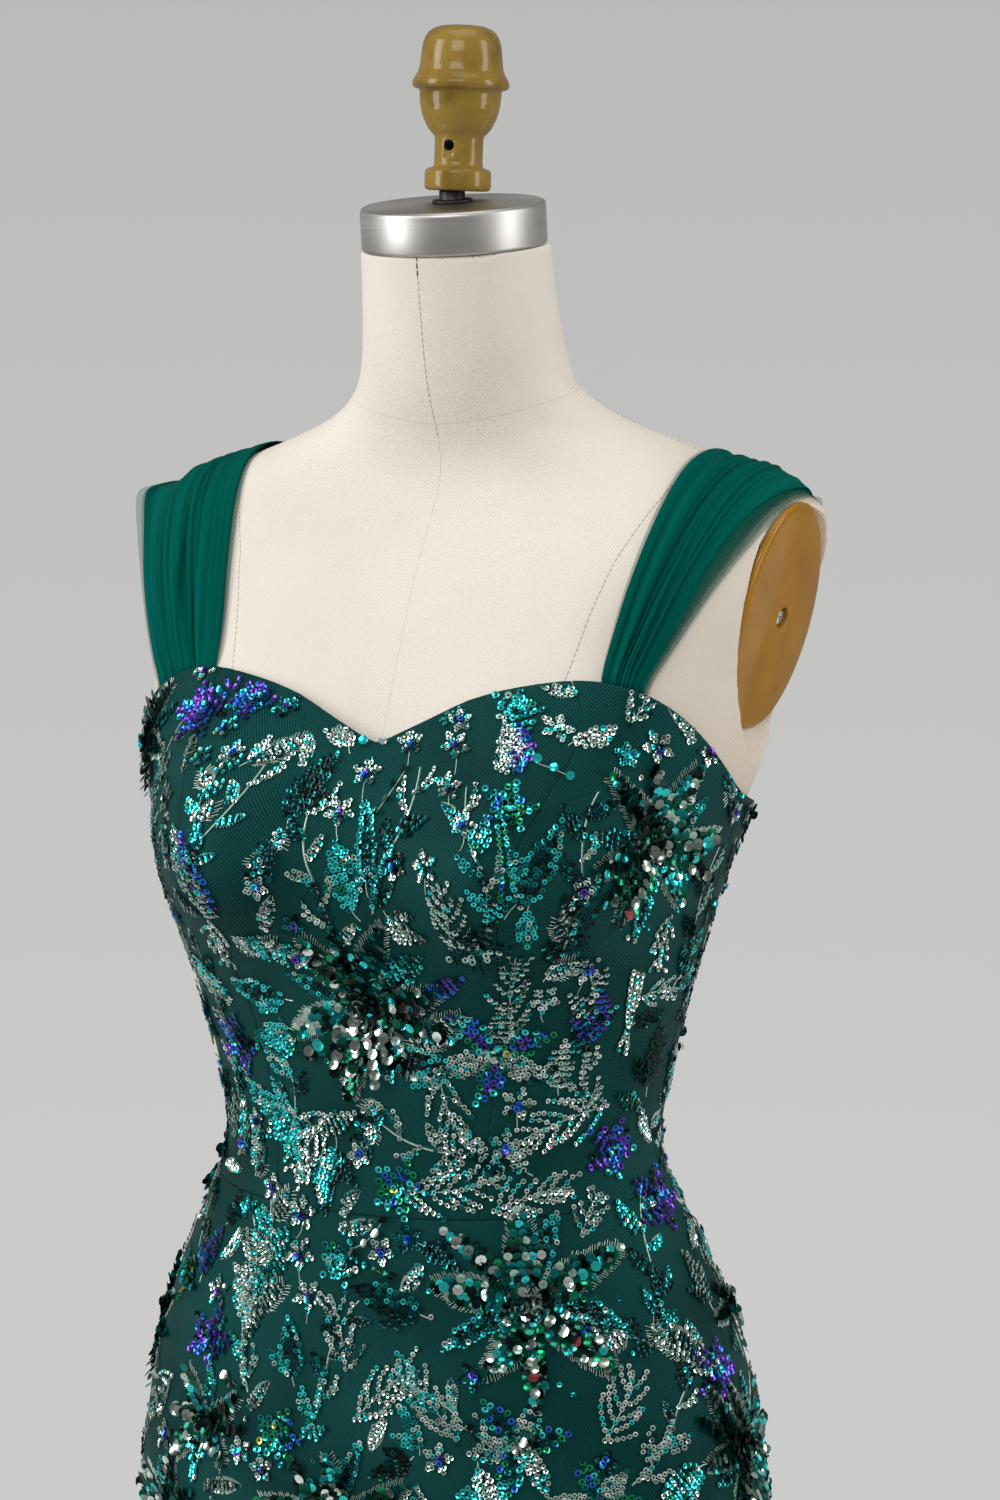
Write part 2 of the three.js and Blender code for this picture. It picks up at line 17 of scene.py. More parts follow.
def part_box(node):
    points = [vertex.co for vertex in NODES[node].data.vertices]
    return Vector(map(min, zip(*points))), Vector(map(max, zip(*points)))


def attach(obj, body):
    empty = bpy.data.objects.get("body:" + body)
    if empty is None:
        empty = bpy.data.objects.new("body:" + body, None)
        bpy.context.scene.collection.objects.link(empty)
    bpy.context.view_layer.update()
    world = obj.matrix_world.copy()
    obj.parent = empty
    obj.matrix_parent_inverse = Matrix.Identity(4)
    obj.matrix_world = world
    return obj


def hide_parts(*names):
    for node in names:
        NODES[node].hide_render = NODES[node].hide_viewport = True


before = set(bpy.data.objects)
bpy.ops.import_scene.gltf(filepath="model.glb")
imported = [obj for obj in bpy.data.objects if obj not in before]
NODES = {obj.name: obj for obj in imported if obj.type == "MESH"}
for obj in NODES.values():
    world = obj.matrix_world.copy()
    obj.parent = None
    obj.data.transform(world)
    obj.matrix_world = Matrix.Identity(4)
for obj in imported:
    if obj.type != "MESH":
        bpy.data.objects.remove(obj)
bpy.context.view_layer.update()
BODY = "dressed_form"
rng = np.random.default_rng(20)

MM = 0.001
TAU = 2 * math.pi
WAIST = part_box("skirt_back_left")[1].z + 2.15 * MM  # the waist is just above the back of the waist seam
AXIS_Y = 8 * MM  # the skin's axis stands this far behind the frame's
SEAM_GAP = 0.3 * MM

# ---------------------------------------------------------------- materials


def material(name, color, roughness=0.5, metallic=0.0, **sockets):
    made = bpy.data.materials.new(name)
    made.use_nodes = True
    inputs = made.node_tree.nodes["Principled BSDF"].inputs
    values = {"Base Color": (*color, 1), "Roughness": roughness, "Metallic": metallic}
    values.update({socket.replace("_", " "): value for socket, value in sockets.items()})
    for socket, value in values.items():
        inputs[socket].default_value = value
    return made


class Graph:
    """Short ways to add nodes to a material."""

    def __init__(self, made):
        self.nodes = made.node_tree.nodes
        self.link = made.node_tree.links.new
        self.shader = self.nodes["Principled BSDF"]

    def add(self, kind, **settings):
        node = self.nodes.new(kind)
        for key, value in settings.items():
            if key in node.inputs.keys():
                node.inputs[key].default_value = value
            else:
                setattr(node, key, value)
        return node

    def position(self, scale=(1, 1, 1), coordinates="Object"):
        mapping = self.add("ShaderNodeMapping", Scale=scale)
        self.link(self.add("ShaderNodeTexCoord").outputs[coordinates], mapping.inputs["Vector"])
        return mapping.outputs["Vector"]

    def cloth_position(self, *scale):
        return self.position(scale or (1, 1, 1), "UV")

    def noise(self, scale, detail, where=None):
        node = self.add("ShaderNodeTexNoise", Scale=scale, Detail=detail)
        self.link(where or self.position(), node.inputs["Vector"])
        return node.outputs["Fac"]

    def wave(self, where, scale, direction="X"):
        node = self.add("ShaderNodeTexWave", bands_direction=direction, Scale=scale)
        self.link(where, node.inputs["Vector"])
        return node.outputs["Fac"]

    def math(self, operation, a, b):
        node = self.add("ShaderNodeMath", operation=operation)
        for socket, value in zip(node.inputs, (a, b)):
            if isinstance(value, (int, float)):
                socket.default_value = value
            else:
                self.link(value, socket)
        return node.outputs[0]

    def sum(self, *parts):
        """Outputs added up, each with its share."""
        scaled = [out if share == 1 else self.math("MULTIPLY", out, share) for out, share in parts]
        total = scaled.pop()
        while scaled:
            total = self.math("ADD", scaled.pop(), total)
        return total

    def color(self, factor, stops):
        node = self.add("ShaderNodeValToRGB")
        elements = node.color_ramp.elements
        while len(elements) < len(stops):
            elements.new(0.5)
        for element, (at, color) in zip(elements, stops):
            element.position = at
            element.color = (*color, 1)
        self.link(factor, node.inputs["Fac"])
        self.link(node.outputs["Color"], self.shader.inputs["Base Color"])

    def bump(self, height, distance, strength):
        node = self.add("ShaderNodeBump", Distance=distance, Strength=strength)
        self.link(height, node.inputs["Height"])
        self.link(node.outputs["Normal"], self.shader.inputs["Normal"])


def toned(color, share):
    return tuple(min(share * c, 1) for c in color)


def sequinned_ground():
    """Fine diamond net over green satin."""
    gloss = {"Specular_IOR_Level": 0.12, "Specular_Tint": (0.15, 1, 0.96, 1)}
    made = material("net_over_satin", (0.002, 0.030, 0.028), 0.42, **gloss)
    g = Graph(made)
    along = g.wave(g.cloth_position(), 360, "DIAGONAL")
    slanted = g.add("ShaderNodeMapping", Rotation=(0, 0, math.radians(100)))
    g.link(g.cloth_position(), slanted.inputs["Vector"])
    net = g.math("MAXIMUM", along, g.wave(slanted.outputs["Vector"], 360, "DIAGONAL"))
    g.color(g.sum((net, 0.8), (g.noise(14, 2.0), 0.45)), [
        (0.26, (0.0012, 0.0042, 0.0038)),
        (0.55, (0.0020, 0.0120, 0.0108)),
        (0.82, (0.0032, 0.0275, 0.0255)),
        (1.0, (0.0070, 0.0760, 0.0710)),
    ])
    g.bump(net, 0.0003, 0.6)
    return made


def tulle(name, color, alpha):
    """Folded net: fine streaks run along the folds, and painted shade darkens the cloth in its creases and at
    free edges.
    """
    made = material(name, color, 0.8, Alpha=alpha, Specular_IOR_Level=0.03, Specular_Tint=(0.1, 1, 0.9, 1))
    g = Graph(made)
    mesh = g.math("MULTIPLY", *(g.wave(g.cloth_position(), 300, direction) for direction in "XY"))
    streaks = g.noise(1, 3.0, g.cloth_position(420, 9, 1))
    broad = g.noise(1, 2.0, g.cloth_position(90, 5, 1))
    painted_shade = g.add("ShaderNodeAttribute", attribute_name="painted_shade").outputs["Fac"]
    pale = g.sum((streaks, 0.45), (broad, 0.55), (mesh, 0.14))
    # painted shade: the tone drops where the share kept at each point is high
    shade = g.math("SUBTRACT", pale, g.math("MULTIPLY", painted_shade, 0.3))
    g.color(shade, [(0.24, toned(color, 0.36)), (0.50, color), (0.68, toned(color, 1.45))])
    g.bump(g.sum((streaks, 1), (mesh, 1)), 0.0003, 0.3)
    return made


def canvas():
    """Cream twill, faintly ribbed on the slant, with painted shade that darkens and yellows it towards the
    arms.
    """
    made = material("canvas_twill", (0.78, 0.71, 0.61), 0.85, Specular_IOR_Level=0.2)
    g = Graph(made)
    twill = g.wave(g.position((1.0, 0.35, 0.9)), 330, "DIAGONAL")
    crossing = g.wave(g.position((1.0, 0.3, -0.5)), 420, "DIAGONAL")
    split = g.add("ShaderNodeSeparateXYZ")
    g.link(g.position(), split.inputs["Vector"])
    # painted shade: beyond 9 cm either side of the middle, towards the underarms, the canvas is painted
    # darker and yellower
    wide = g.math("SUBTRACT", g.math("ABSOLUTE", split.outputs["X"], 0), 0.09)
    underarm_shade = g.math("MULTIPLY", g.math("MAXIMUM", wide, 0), 5)
    g.color(g.math("SUBTRACT", g.sum((twill, 0.16), (g.noise(9, 4.0), 1)), underarm_shade), [
        (0.05, (0.69, 0.585, 0.47)),
        (0.30, (0.68, 0.62, 0.54)),
        (0.55, (0.745, 0.69, 0.615)),
        (0.85, (0.78, 0.73, 0.66)),
    ])
    g.bump(g.sum((twill, 1), (crossing, 0.5)), 0.00025, 0.3)
    return made


def painted(name, color, darker, lumps):
    """Thick gloss paint with slight runs, and a darker tone where it lies thin."""
    made = material(name, color, 0.3, Coat_Weight=0.5, Coat_Roughness=0.11, Specular_IOR_Level=0.1)
    g = Graph(made)
    spots = g.noise(42, 5.0)
    g.color(spots, [(0.30, darker), (0.47, color), (0.75, toned(color, 1.18))])
    g.bump(g.sum((g.noise(190, 2.0), 1), (spots, 0.8)), 0.0016, lumps)
    return made


def brushed(name, color, scale, roughness):
    """Steel with fine brushed lines and worn patches."""
    made = material(name, color, roughness, 1.0, Anisotropic=0.6)
    g = Graph(made)
    lines = g.noise(1, 2.0, g.position(scale))
    both = g.sum((lines, 0.5), (g.noise(35, 4.0), 0.5))
    g.link(g.math("ADD", g.math("MULTIPLY", both, 0.24), roughness - 0.12), g.shader.inputs["Roughness"])
    g.color(both, [(0.3, toned(color, 0.84)), (0.6, color)])
    g.bump(lines, 0.00003, 0.3)
    return made


SATIN = sequinned_ground()
CANVAS = canvas()
TULLE = tulle("tulle_folded", (0.0002, 0.078, 0.061), 1.0)
SHEER = tulle("tulle_sheer", (0.001, 0.090, 0.063), 0.42)
KNOB_PAINT = painted("knob_paint", (0.255, 0.160, 0.026), (0.16, 0.092, 0.012), 0.55)
PLATE_GLOSS = painted("plate_gloss", (0.33, 0.150, 0.004), (0.30, 0.128, 0.003), 0.05)
STEEL = brushed("cap_steel", (0.53, 0.52, 0.50), (9, 9, 1500), 0.37)
STAND_STEEL = brushed("stand_steel", (0.60, 0.59, 0.57), (25, 25, 700), 0.34)
CHROME = material("screw_chrome", (0.75, 0.75, 0.75), 0.12, 1.0)
BLACK = material("bolt_black", (0.012, 0.012, 0.012), 0.45)
# near black: painted shade on the walls of the knob's hole
HOLE_SHADE = material("hole_painted_shade", (0.006, 0.005, 0.004), 0.9)
ZIP_METAL = material("zip_enamel", (0.008, 0.060, 0.050), 0.35, 0.2, Coat_Weight=0.4)
ZIP_CLOTH = material("zip_cloth", (0.008, 0.060, 0.050), 0.8)
STITCH = material("form_stitch", (0.46, 0.41, 0.33), 0.8)
TACKING = material("form_tacking_thread", (0.10, 0.095, 0.09), 0.8)
# darker than the canvas: a seam's low ridge, painted darker as shade in its groove
SEAM_RIDGE_AND_SHADE = material("form_seam_and_shade", (0.68, 0.62, 0.53), 0.9)
STAND_PAINT = material("stand_enamel", (0.62, 0.60, 0.57), 0.32, 0.0, Coat_Weight=0.5)

SEQUIN_LOOKS = {  # colour, roughness and metal of each kind
    "mint": ((0.42, 0.62, 0.54), 0.2, 0.85),
    "silver": ((0.82, 0.93, 0.88), 0.15, 0.95),
    "grey": ((0.24, 0.29, 0.255), 0.2, 0.9),
    "teal": ((0.004, 0.20, 0.205), 0.18, 0.8),
    "deep_teal": ((0.001, 0.045, 0.052), 0.2, 0.8),
    "cyan": ((0.04, 0.70, 0.70), 0.16, 0.85),
    "green": ((0.004, 0.26, 0.11), 0.18, 0.75),
    "emerald": ((0.002, 0.100, 0.062), 0.18, 0.8),
    "dark": ((0.0010, 0.012, 0.010), 0.14, 0.75),
    "blue": ((0.02, 0.14, 0.62), 0.18, 0.75),
    "violet": ((0.12, 0.045, 0.45), 0.2, 0.75),
    "gold": ((0.62, 0.66, 0.12), 0.2, 0.9),
    "red": ((0.13, 0.008, 0.010), 0.35, 0.5),
}
SEQUIN_NAMES = list(SEQUIN_LOOKS)
SEQUIN_MATERIALS = [material("sequin_" + name, *look) for name, look in SEQUIN_LOOKS.items()]
# the dark eye in each sequin's hole: the thread there, and painted shade under the sequin
EYE_THREAD_AND_SHADE = material("sequin_eye_thread_and_shade", (0.0008, 0.008, 0.008), 0.8, Specular_IOR_Level=0.05)
THREADS = {
    "silver_thread": material("thread_silver", (0.44, 0.58, 0.50), 0.42, 0.5),
    "green_thread": material("thread_green", (0.010, 0.110, 0.085), 0.55, 0.2),
}

# ---------------------------------------------------------------- meshes


def unit(vectors):
    return vectors / np.linalg.norm(vectors, axis=-1, keepdims=True)


def linked(name, data):
    """A new object in the scene."""
    made = bpy.data.objects.new(name, data)
    bpy.context.scene.collection.objects.link(made)
    return made


def new_object(name, verts, faces, materials, smooth=True, uv=None, indices=None):
    mesh = bpy.data.meshes.new(name)
    faces = faces.tolist() if isinstance(faces, np.ndarray) else faces
    mesh.from_pydata(np.asarray(verts, float).reshape(-1, 3).tolist(), [], faces)
    for made in materials:
        mesh.materials.append(made)
    if indices is not None:
        mesh.polygons.foreach_set("material_index", np.asarray(indices, np.int32))
    if uv is not None:
        layer = mesh.uv_layers.new(name="cloth")
        corner = np.zeros(len(mesh.loops), np.int32)
        mesh.loops.foreach_get("vertex_index", corner)
        layer.data.foreach_set("uv", np.asarray(uv, np.float32)[corner].ravel())
    mesh.polygons.foreach_set("use_smooth", np.full(len(mesh.polygons), smooth))
    mesh.update()
    made = linked(name, mesh)
    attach(made, BODY)
    return made


def tint(piece, shares):
    """Keeps a share of painted shade from 0 to 1 at each point, by which the cloth's colour is darkened."""
    layer = piece.data.attributes.new("painted_shade", "FLOAT", "POINT")
    layer.data.foreach_set("value", np.asarray(shares, np.float32))


def grid_faces(rows, columns, start=0, flip=False):
    r, c = np.meshgrid(np.arange(rows - 1), np.arange(columns - 1), indexing="ij")
    a = start + r * columns + c
    quads = np.stack([a, a + 1, a + columns + 1, a + columns], -1).reshape(-1, 4)
    return quads[:, ::-1] if flip else quads


def closed_wall(outer, inner):
    """Vertices and quads of a closed wall between two grids of points, outer facing out."""
    rows, columns, _ = outer.shape
    count = rows * columns
    faces = [grid_faces(rows, columns), grid_faces(rows, columns, count, True)]
    index = np.arange(count).reshape(rows, columns)
    for edge, flip in ((index[0], False), (index[-1], True), (index[:, 0], True), (index[:, -1], False)):
        a, b = edge[:-1], edge[1:]
        side = np.stack([a, a + count, b + count, b], -1)
        faces.append(side[:, ::-1] if flip else side)
    return np.concatenate([outer.reshape(-1, 3), inner.reshape(-1, 3)]), np.concatenate(faces)


def lathe(name, profile, place, made, segments=96):
    """A round or oval solid from (radius, height) in millimetres about +Z; an oval's radius is (x, y)."""
    angles = np.linspace(0, TAU, segments, endpoint=False)
    circle = np.stack([np.cos(angles), np.sin(angles)], -1)
    rings = [np.column_stack([circle * r, np.full(segments, h)]) for r, h in profile[1:-1]]
    ends = [(0, 0, profile[0][1]), (0, 0, profile[-1][1])]
    verts = np.concatenate([*rings, ends]) * MM
    j = np.arange(segments)
    k = (j + 1) % segments
    walls = [np.stack([j, k, segments + k, segments + j], -1) + i * segments for i in range(len(rings) - 1)]
    bottom, last = len(verts) - 2, (len(rings) - 1) * segments
    caps = [face for n, m in zip(j, k) for face in ((bottom, m, n), (bottom + 1, last + n, last + m))]
    faces = np.concatenate(walls).tolist() + [[int(i) for i in face] for face in caps]
    return new_object(name, [place @ Vector(v) for v in verts], faces, [made])


def rounded(profile, steps):
    """Rounds a profile's corners by cutting each of them several times."""
    points = [np.array(p, float) for p in profile]
    for share in [0.3] + [0.5] * (steps - 1):
        cut = [points[0]]
        for a, b in zip(points, points[1:]):
            cut += [a + (b - a) * share / 2, b - (b - a) * share / 2]
        points = [*cut, points[-1]]
    return [tuple(p) for p in points]


def upright(node):
    """A node's middle on the floor of its box, for a piece that stands straight."""
    low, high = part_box(node)
    return Matrix.Translation(((low[0] + high[0]) / 2, (low[1] + high[1]) / 2, low[2]))


def square_to_face(node, facing):
    """A frame on a flat node's foot: +Z its thinnest way, towards facing, and +X its longest."""
    co = np.array([v.co for v in NODES[node].data.vertices])
    _, vectors = np.linalg.eigh(np.cov((co - co.mean(0)).T))
    z, x = vectors[:, 0], vectors[:, 2]
    z = z if z @ np.array(facing) > 0 else -z
    axes = np.stack([x, np.cross(z, x), z], -1)
    local = (co - co.mean(0)) @ axes
    low, high = local.min(0), local.max(0)
    place = np.eye(4)
    place[:3, :3] = axes
    place[:3, 3] = co.mean(0) + axes @ np.array([(low[0] + high[0]) / 2, (low[1] + high[1]) / 2, low[2]])
    return Matrix(place.tolist())


def copy_of(node, name, made):
    """A node's own mesh under another name and material, and an edit of it with its points joined."""
    piece = linked(name, NODES[node].data.copy())
    piece.data.materials.clear()
    piece.data.materials.append(made)
    edit = bmesh.new()
    edit.from_mesh(piece.data)
    bmesh.ops.remove_doubles(edit, verts=edit.verts, dist=2e-6)
    return piece, edit


def apply_modifiers(piece):
    graph = bpy.context.evaluated_depsgraph_get()
    made = bpy.data.meshes.new_from_object(piece.evaluated_get(graph))
    piece.modifiers.clear()
    piece.data = made


def smooth_copy(node, name, made):
    """A node's own shape with its facets turned to a smooth surface, keeping its sharp edges."""
    piece, edit = copy_of(node, name, made)
    bmesh.ops.join_triangles(
        edit, faces=edit.faces, angle_face_threshold=math.radians(25), angle_shape_threshold=math.radians(40)
    )
    crease = edit.edges.layers.float.new("crease_edge")
    for edge in edit.edges:
        if len(edge.link_faces) == 2 and edge.calc_face_angle(0) > math.radians(30):
            edge[crease] = 0.85
    edit.to_mesh(piece.data)
    edit.free()
    piece.data.polygons.foreach_set("use_smooth", np.full(len(piece.data.polygons), True))
    modifier = piece.modifiers.new("smooth", "SUBSURF")
    modifier.levels = modifier.render_levels = 2
    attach(piece, BODY)
    apply_modifiers(piece)
    return piece


# ---------------------------------------------------------------- the skin, measured from the frame


def tree_of(*nodes):
    verts, faces = [], []
    for mesh in (NODES[n].data for n in nodes):
        start = len(verts)
        verts += [v.co.copy() for v in mesh.vertices]
        faces += [[start + i for i in p.vertices] for p in mesh.polygons]
    return BVHTree.FromPolygons(verts, faces)


BODICE = [
    "bodice_front", "bodice_side_front_left", "bodice_side_front_right",
    "bodice_back_left", "bodice_back_right",
]
SKIRT = ["skirt_front", "skirt_back_left", "skirt_back_right"]
dress_tree = tree_of(*BODICE, *SKIRT)
skirt_tree = tree_of(*SKIRT)
front_tree = tree_of("bodice_front")
side_tree = tree_of("bodice_side_front_left")
form_tree = tree_of("form_body")
shoulder_tree = tree_of("arm_plate_left", "arm_plate_right", "form_body")

OUTSIDE = 0.4  # well outside the dress
TURNS = 240
HEM_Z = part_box("skirt_front")[0].z
TOP_Z = max(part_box(n)[1].z for n in BODICE)
ROW_STEP = 4 * MM
ROWS = int((TOP_Z + 12 * MM - HEM_Z) / ROW_STEP) + 2
turn_list = np.arange(TURNS) * 2 * math.pi / TURNS - math.pi
height_list = HEM_Z + 0.4 * MM + np.arange(ROWS) * ROW_STEP
ABOVE_FORM = 5.2 * MM  # the dress's outer face above the form's


def reach(tree, turn, z):
    """How far the tree's outermost surface stands from the axis, this way, or None."""
    out = Vector((math.sin(turn), -math.cos(turn), 0))
    hit = tree.ray_cast(Vector((0, AXIS_Y, z)) + out * OUTSIDE, -out, OUTSIDE)
    return None if hit[0] is None else OUTSIDE - hit[3]


def edge_between(tree, at, low, high):
    """Where the tree, met at low, stops being met on the way to high; at gives the turn and height."""
    for _ in range(18):
        middle = (low + high) / 2
        if reach(tree, *at(middle)) is not None:
            low = middle
        else:
            high = middle
    return (low + high) / 2


def ends_at(tree, low, high):
    """The height at which a tree ends between two heights, at every turn of the list."""
    return np.array([edge_between(tree, lambda z: (t + 0.003, z), low, high) for t in turn_list])


def measured_radius(turn, z):
    found = [reach(dress_tree, turn + a, z + b) for a, b in ((0.004, 0), (-0.004, 0.7 * MM))]
    found = [f for f in found if f is not None]
    if found:
        return max(found)
    under = reach(form_tree, turn, z)
    return (under if under is not None else 0.1) + ABOVE_FORM


def smoothed(values, sigma, axis=0, wrap=False):
    span = int(3 * sigma) + 1
    weights = np.exp(-0.5 * (np.arange(-span, span + 1) / sigma) ** 2)
    weights /= weights.sum()
    pad = [(0, 0)] * values.ndim
    pad[axis] = (span, span)
    wide = np.pad(values, pad, mode="wrap" if wrap else "edge")
    total = np.zeros_like(values)
    for i, w in enumerate(weights):
        part = [slice(None)] * values.ndim
        part[axis] = slice(i, i + values.shape[axis])
        total += w * wide[tuple(part)]
    return total


radius = np.array([[measured_radius(t, z) for t in turn_list] for z in height_list])
radius = smoothed(smoothed(radius, 2.2, 1, True), 2.0)
slope_turn = (np.roll(radius, -1, 1) - np.roll(radius, 1, 1)) / (4 * math.pi / TURNS)
slope_z = np.gradient(radius, ROW_STEP, axis=0)


def between_turns(turn):
    """The two steps of turn_list on either side of a turn, and how far it is past the first."""
    t = (np.asarray(turn) + math.pi) / (2 * math.pi) * TURNS
    t0 = np.floor(t).astype(int)
    return t0 % TURNS, (t0 + 1) % TURNS, t - t0


def read(table, turn, z):
    """A table's value between its turns and heights."""
    a, b, ft = between_turns(turn)
    h = np.clip((np.asarray(z) - height_list[0]) / ROW_STEP, 0, ROWS - 1.001)
    h0 = np.floor(h).astype(int)
    fh = h - h0
    low = table[h0, a] * (1 - ft) + table[h0, b] * ft
    high = table[h0 + 1, a] * (1 - ft) + table[h0 + 1, b] * ft
    return low * (1 - fh) + high * fh


def skin(turn, z, lift=0.0):
    """Points lifted off the dress's outer face, the outward normal, the two ways along it, and its radius."""
    turn, z = np.broadcast_arrays(np.asarray(turn, float), np.asarray(z, float))
    r, rt, rz = read(radius, turn, z), read(slope_turn, turn, z), read(slope_z, turn, z)
    s, c = np.sin(turn), np.cos(turn)
    point = np.stack([r * s, AXIS_Y - r * c, z], -1)
    around = np.stack([rt * s + r * c, -rt * c + r * s, np.zeros_like(r)], -1)
    upward = np.stack([rz * s, -rz * c, np.ones_like(r)], -1)
    normal = unit(np.cross(around, upward))
    speed = np.linalg.norm(around, axis=-1, keepdims=True)
    return point + normal * np.asarray(lift)[..., None], normal, around / speed, upward, speed[..., 0]


side_z = WAIST + 150 * MM  # a height at which the side seam is met
top_edge = smoothed(
    ends_at(dress_tree, WAIST + 120 * MM, TOP_Z + 3 * MM),
    1.3, 0, True,
)
waist_edge = smoothed(
    ends_at(skirt_tree, WAIST - 60 * MM, WAIST + 30 * MM),
    1.5, 0, True,
) + SEAM_GAP / 2


def around_table(values, turn):
    a, b, share = between_turns(turn)
    return values[a] * (1 - share) + values[b] * share


def neckline(turn):
    return around_table(top_edge, turn)


def waist_seam(turn):
    return around_table(waist_edge, turn)


princess_z = np.linspace(WAIST - 25 * MM, TOP_Z, 60)
princess_turn = np.full(len(princess_z), np.nan)
for i, z in enumerate(np.minimum(princess_z, TOP_Z - 8 * MM)):
    if reach(front_tree, 0.3, z) is not None:
        princess_turn[i] = edge_between(front_tree, lambda t: (t, z), 0.3, 1.1)
known = ~np.isnan(princess_turn)
princess_turn = smoothed(np.interp(princess_z, princess_z[known], princess_turn[known]), 2.0)
SIDE_TURN = edge_between(side_tree, lambda t: (t, side_z), 1.2, 2.2)


def princess(z):
    return np.interp(z, princess_z, princess_turn)


# ---------------------------------------------------------------- the dress's panels

EDGE_STEPS = np.array([0, 0.7, 1.6, 3.2]) * MM
WALL = 1.7 * MM


def spaced(length, step):
    """Places along a length, closer together at both ends."""
    count = max(int((length - 2 * EDGE_STEPS[-1]) / step), 4)
    middle = np.linspace(EDGE_STEPS[-1], length - EDGE_STEPS[-1], count)
    return np.concatenate([EDGE_STEPS[:-1], middle, length - EDGE_STEPS[:-1][::-1]]) / length


def panel(name, start, end, low, high, width, height):
    """One cut piece, between two turns (as functions of height) and two heights (as functions of turn)."""
    across, up = np.meshgrid(spaced(width, 6 * MM), spaced(height, 7 * MM))
    z = WAIST
    for _ in range(9):
        turn = start(z) * (1 - across) + end(z) * across
        z = low(turn) * (1 - up) + high(turn) * up
    from_side = np.minimum(across, 1 - across) * width
    from_end = np.minimum(up, 1 - up) * height
    dip = 0.45 * MM * np.exp(-((from_side / (1.3 * MM)) ** 2))
    dip += 0.35 * MM * np.exp(-((from_end / (1.2 * MM)) ** 2))
    outer = skin(turn, z, -dip - 0.1 * MM)[0]
    inner = skin(turn, z, -WALL + 0.5 * dip)[0]
    uv = np.tile(np.stack([turn * 0.15, z], -1).reshape(-1, 2), (2, 1))
    piece = new_object(name + "_cloth", *closed_wall(outer, inner), [SATIN], uv=uv)
    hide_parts(name)


def line_at(value, off=0.0):
    """The same turn or height everywhere, or a function's value, moved by off."""
    return lambda at: (value(at) if callable(value) else np.full_like(np.asarray(at, float), value)) + off


HALF_GAP_TURN = SEAM_GAP / 2 / 0.13  # half a seam's gap, as a turn
# The seams' turns, from the centre back round to the centre back.
SEAMS = [-math.pi, -SIDE_TURN, lambda z: -princess(z), princess, SIDE_TURN, math.pi]
HEIGHTS = {
    "bodice": (line_at(waist_seam, SEAM_GAP / 2), neckline),
    "skirt": (line_at(HEM_Z + 0.4 * MM), line_at(waist_seam, -SEAM_GAP / 2)),
}
PANELS = [  # the seams that each one lies between, and its size
    {"name": "bodice_front", "seams": (2, 3), "width": 0.16, "height": 0.27},
    {"name": "bodice_side_front_left", "seams": (3, 4), "width": 0.15, "height": 0.25},
    {"name": "bodice_side_front_right", "seams": (1, 2), "width": 0.15, "height": 0.25},
    {"name": "bodice_back_left", "seams": (4, 5), "width": 0.20, "height": 0.20},
    {"name": "bodice_back_right", "seams": (0, 1), "width": 0.20, "height": 0.20},
    {"name": "skirt_front", "seams": (1, 4), "width": 0.43, "height": 0.43},
    {"name": "skirt_back_left", "seams": (4, 5), "width": 0.24, "height": 0.44},
    {"name": "skirt_back_right", "seams": (0, 1), "width": 0.24, "height": 0.44},
]
for row in PANELS:
    start, end = (SEAMS[i] for i in row["seams"])
    low, high = HEIGHTS[row["name"].split("_")[0]]
    start, end = line_at(start, HALF_GAP_TURN), line_at(end, -HALF_GAP_TURN)
    panel(row["name"], start, end, low, high, row["width"], row["height"])

# ---------------------------------------------------------------- the straps

# The turns of a strap's inner and outer edges at the front and back rims in degrees, where each edge crosses
# the shoulder, and how far each bows out, in millimetres.
STRAP_SIDES = [
    {
        "hand": 1, "side": "left",
        "front": (61.0, 67.5), "shoulder": (133, 187), "back": (150, 128), "swing": (1, 0),
    },
    {
        "hand": -1, "side": "right",
        "front": (58.5, 71.5), "shoulder": (133, 201), "back": (150, 128), "swing": (4, 4),
    },
]
CLEAR = 3.6 * MM  # between the band's middle and what it lies on
TUCK = 5 * MM  # how far the tulle goes down behind the bodice's edge
BAND = np.linspace(-0.06, 1.08, 58)
STATIONS = 81


def rim(turn):
    return skin(turn, neckline(turn), -1.0 * MM)[0]


def taut_over(points, middle):
    """The taut line over points in depth and height, from the first to the last, round this middle."""
    first, last = points[0], points[-1]
    between = sorted(points[1:-1], key=lambda p: math.atan2(p[1] - middle[1], p[2] - middle[2]))
    taut = []
    for p in [first, *between, last]:
        while len(taut) > 1:
            a, b = taut[-2], taut[-1]
            if (b[1] - a[1]) * (p[2] - b[2]) - (b[2] - a[2]) * (p[1] - b[1]) < 0:
                break
            taut.pop()
        taut.append(p)
    return np.array(taut)


def run_along(points):
    """How far along a line each of its points lies."""
    return np.concatenate([[0], np.cumsum(np.linalg.norm(np.diff(points, axis=0), axis=1))])


def read_off(places, reached, points):
    """Points at places along a line whose own points lie at reached."""
    return np.stack([np.interp(places, reached, values) for values in points.T], -1)


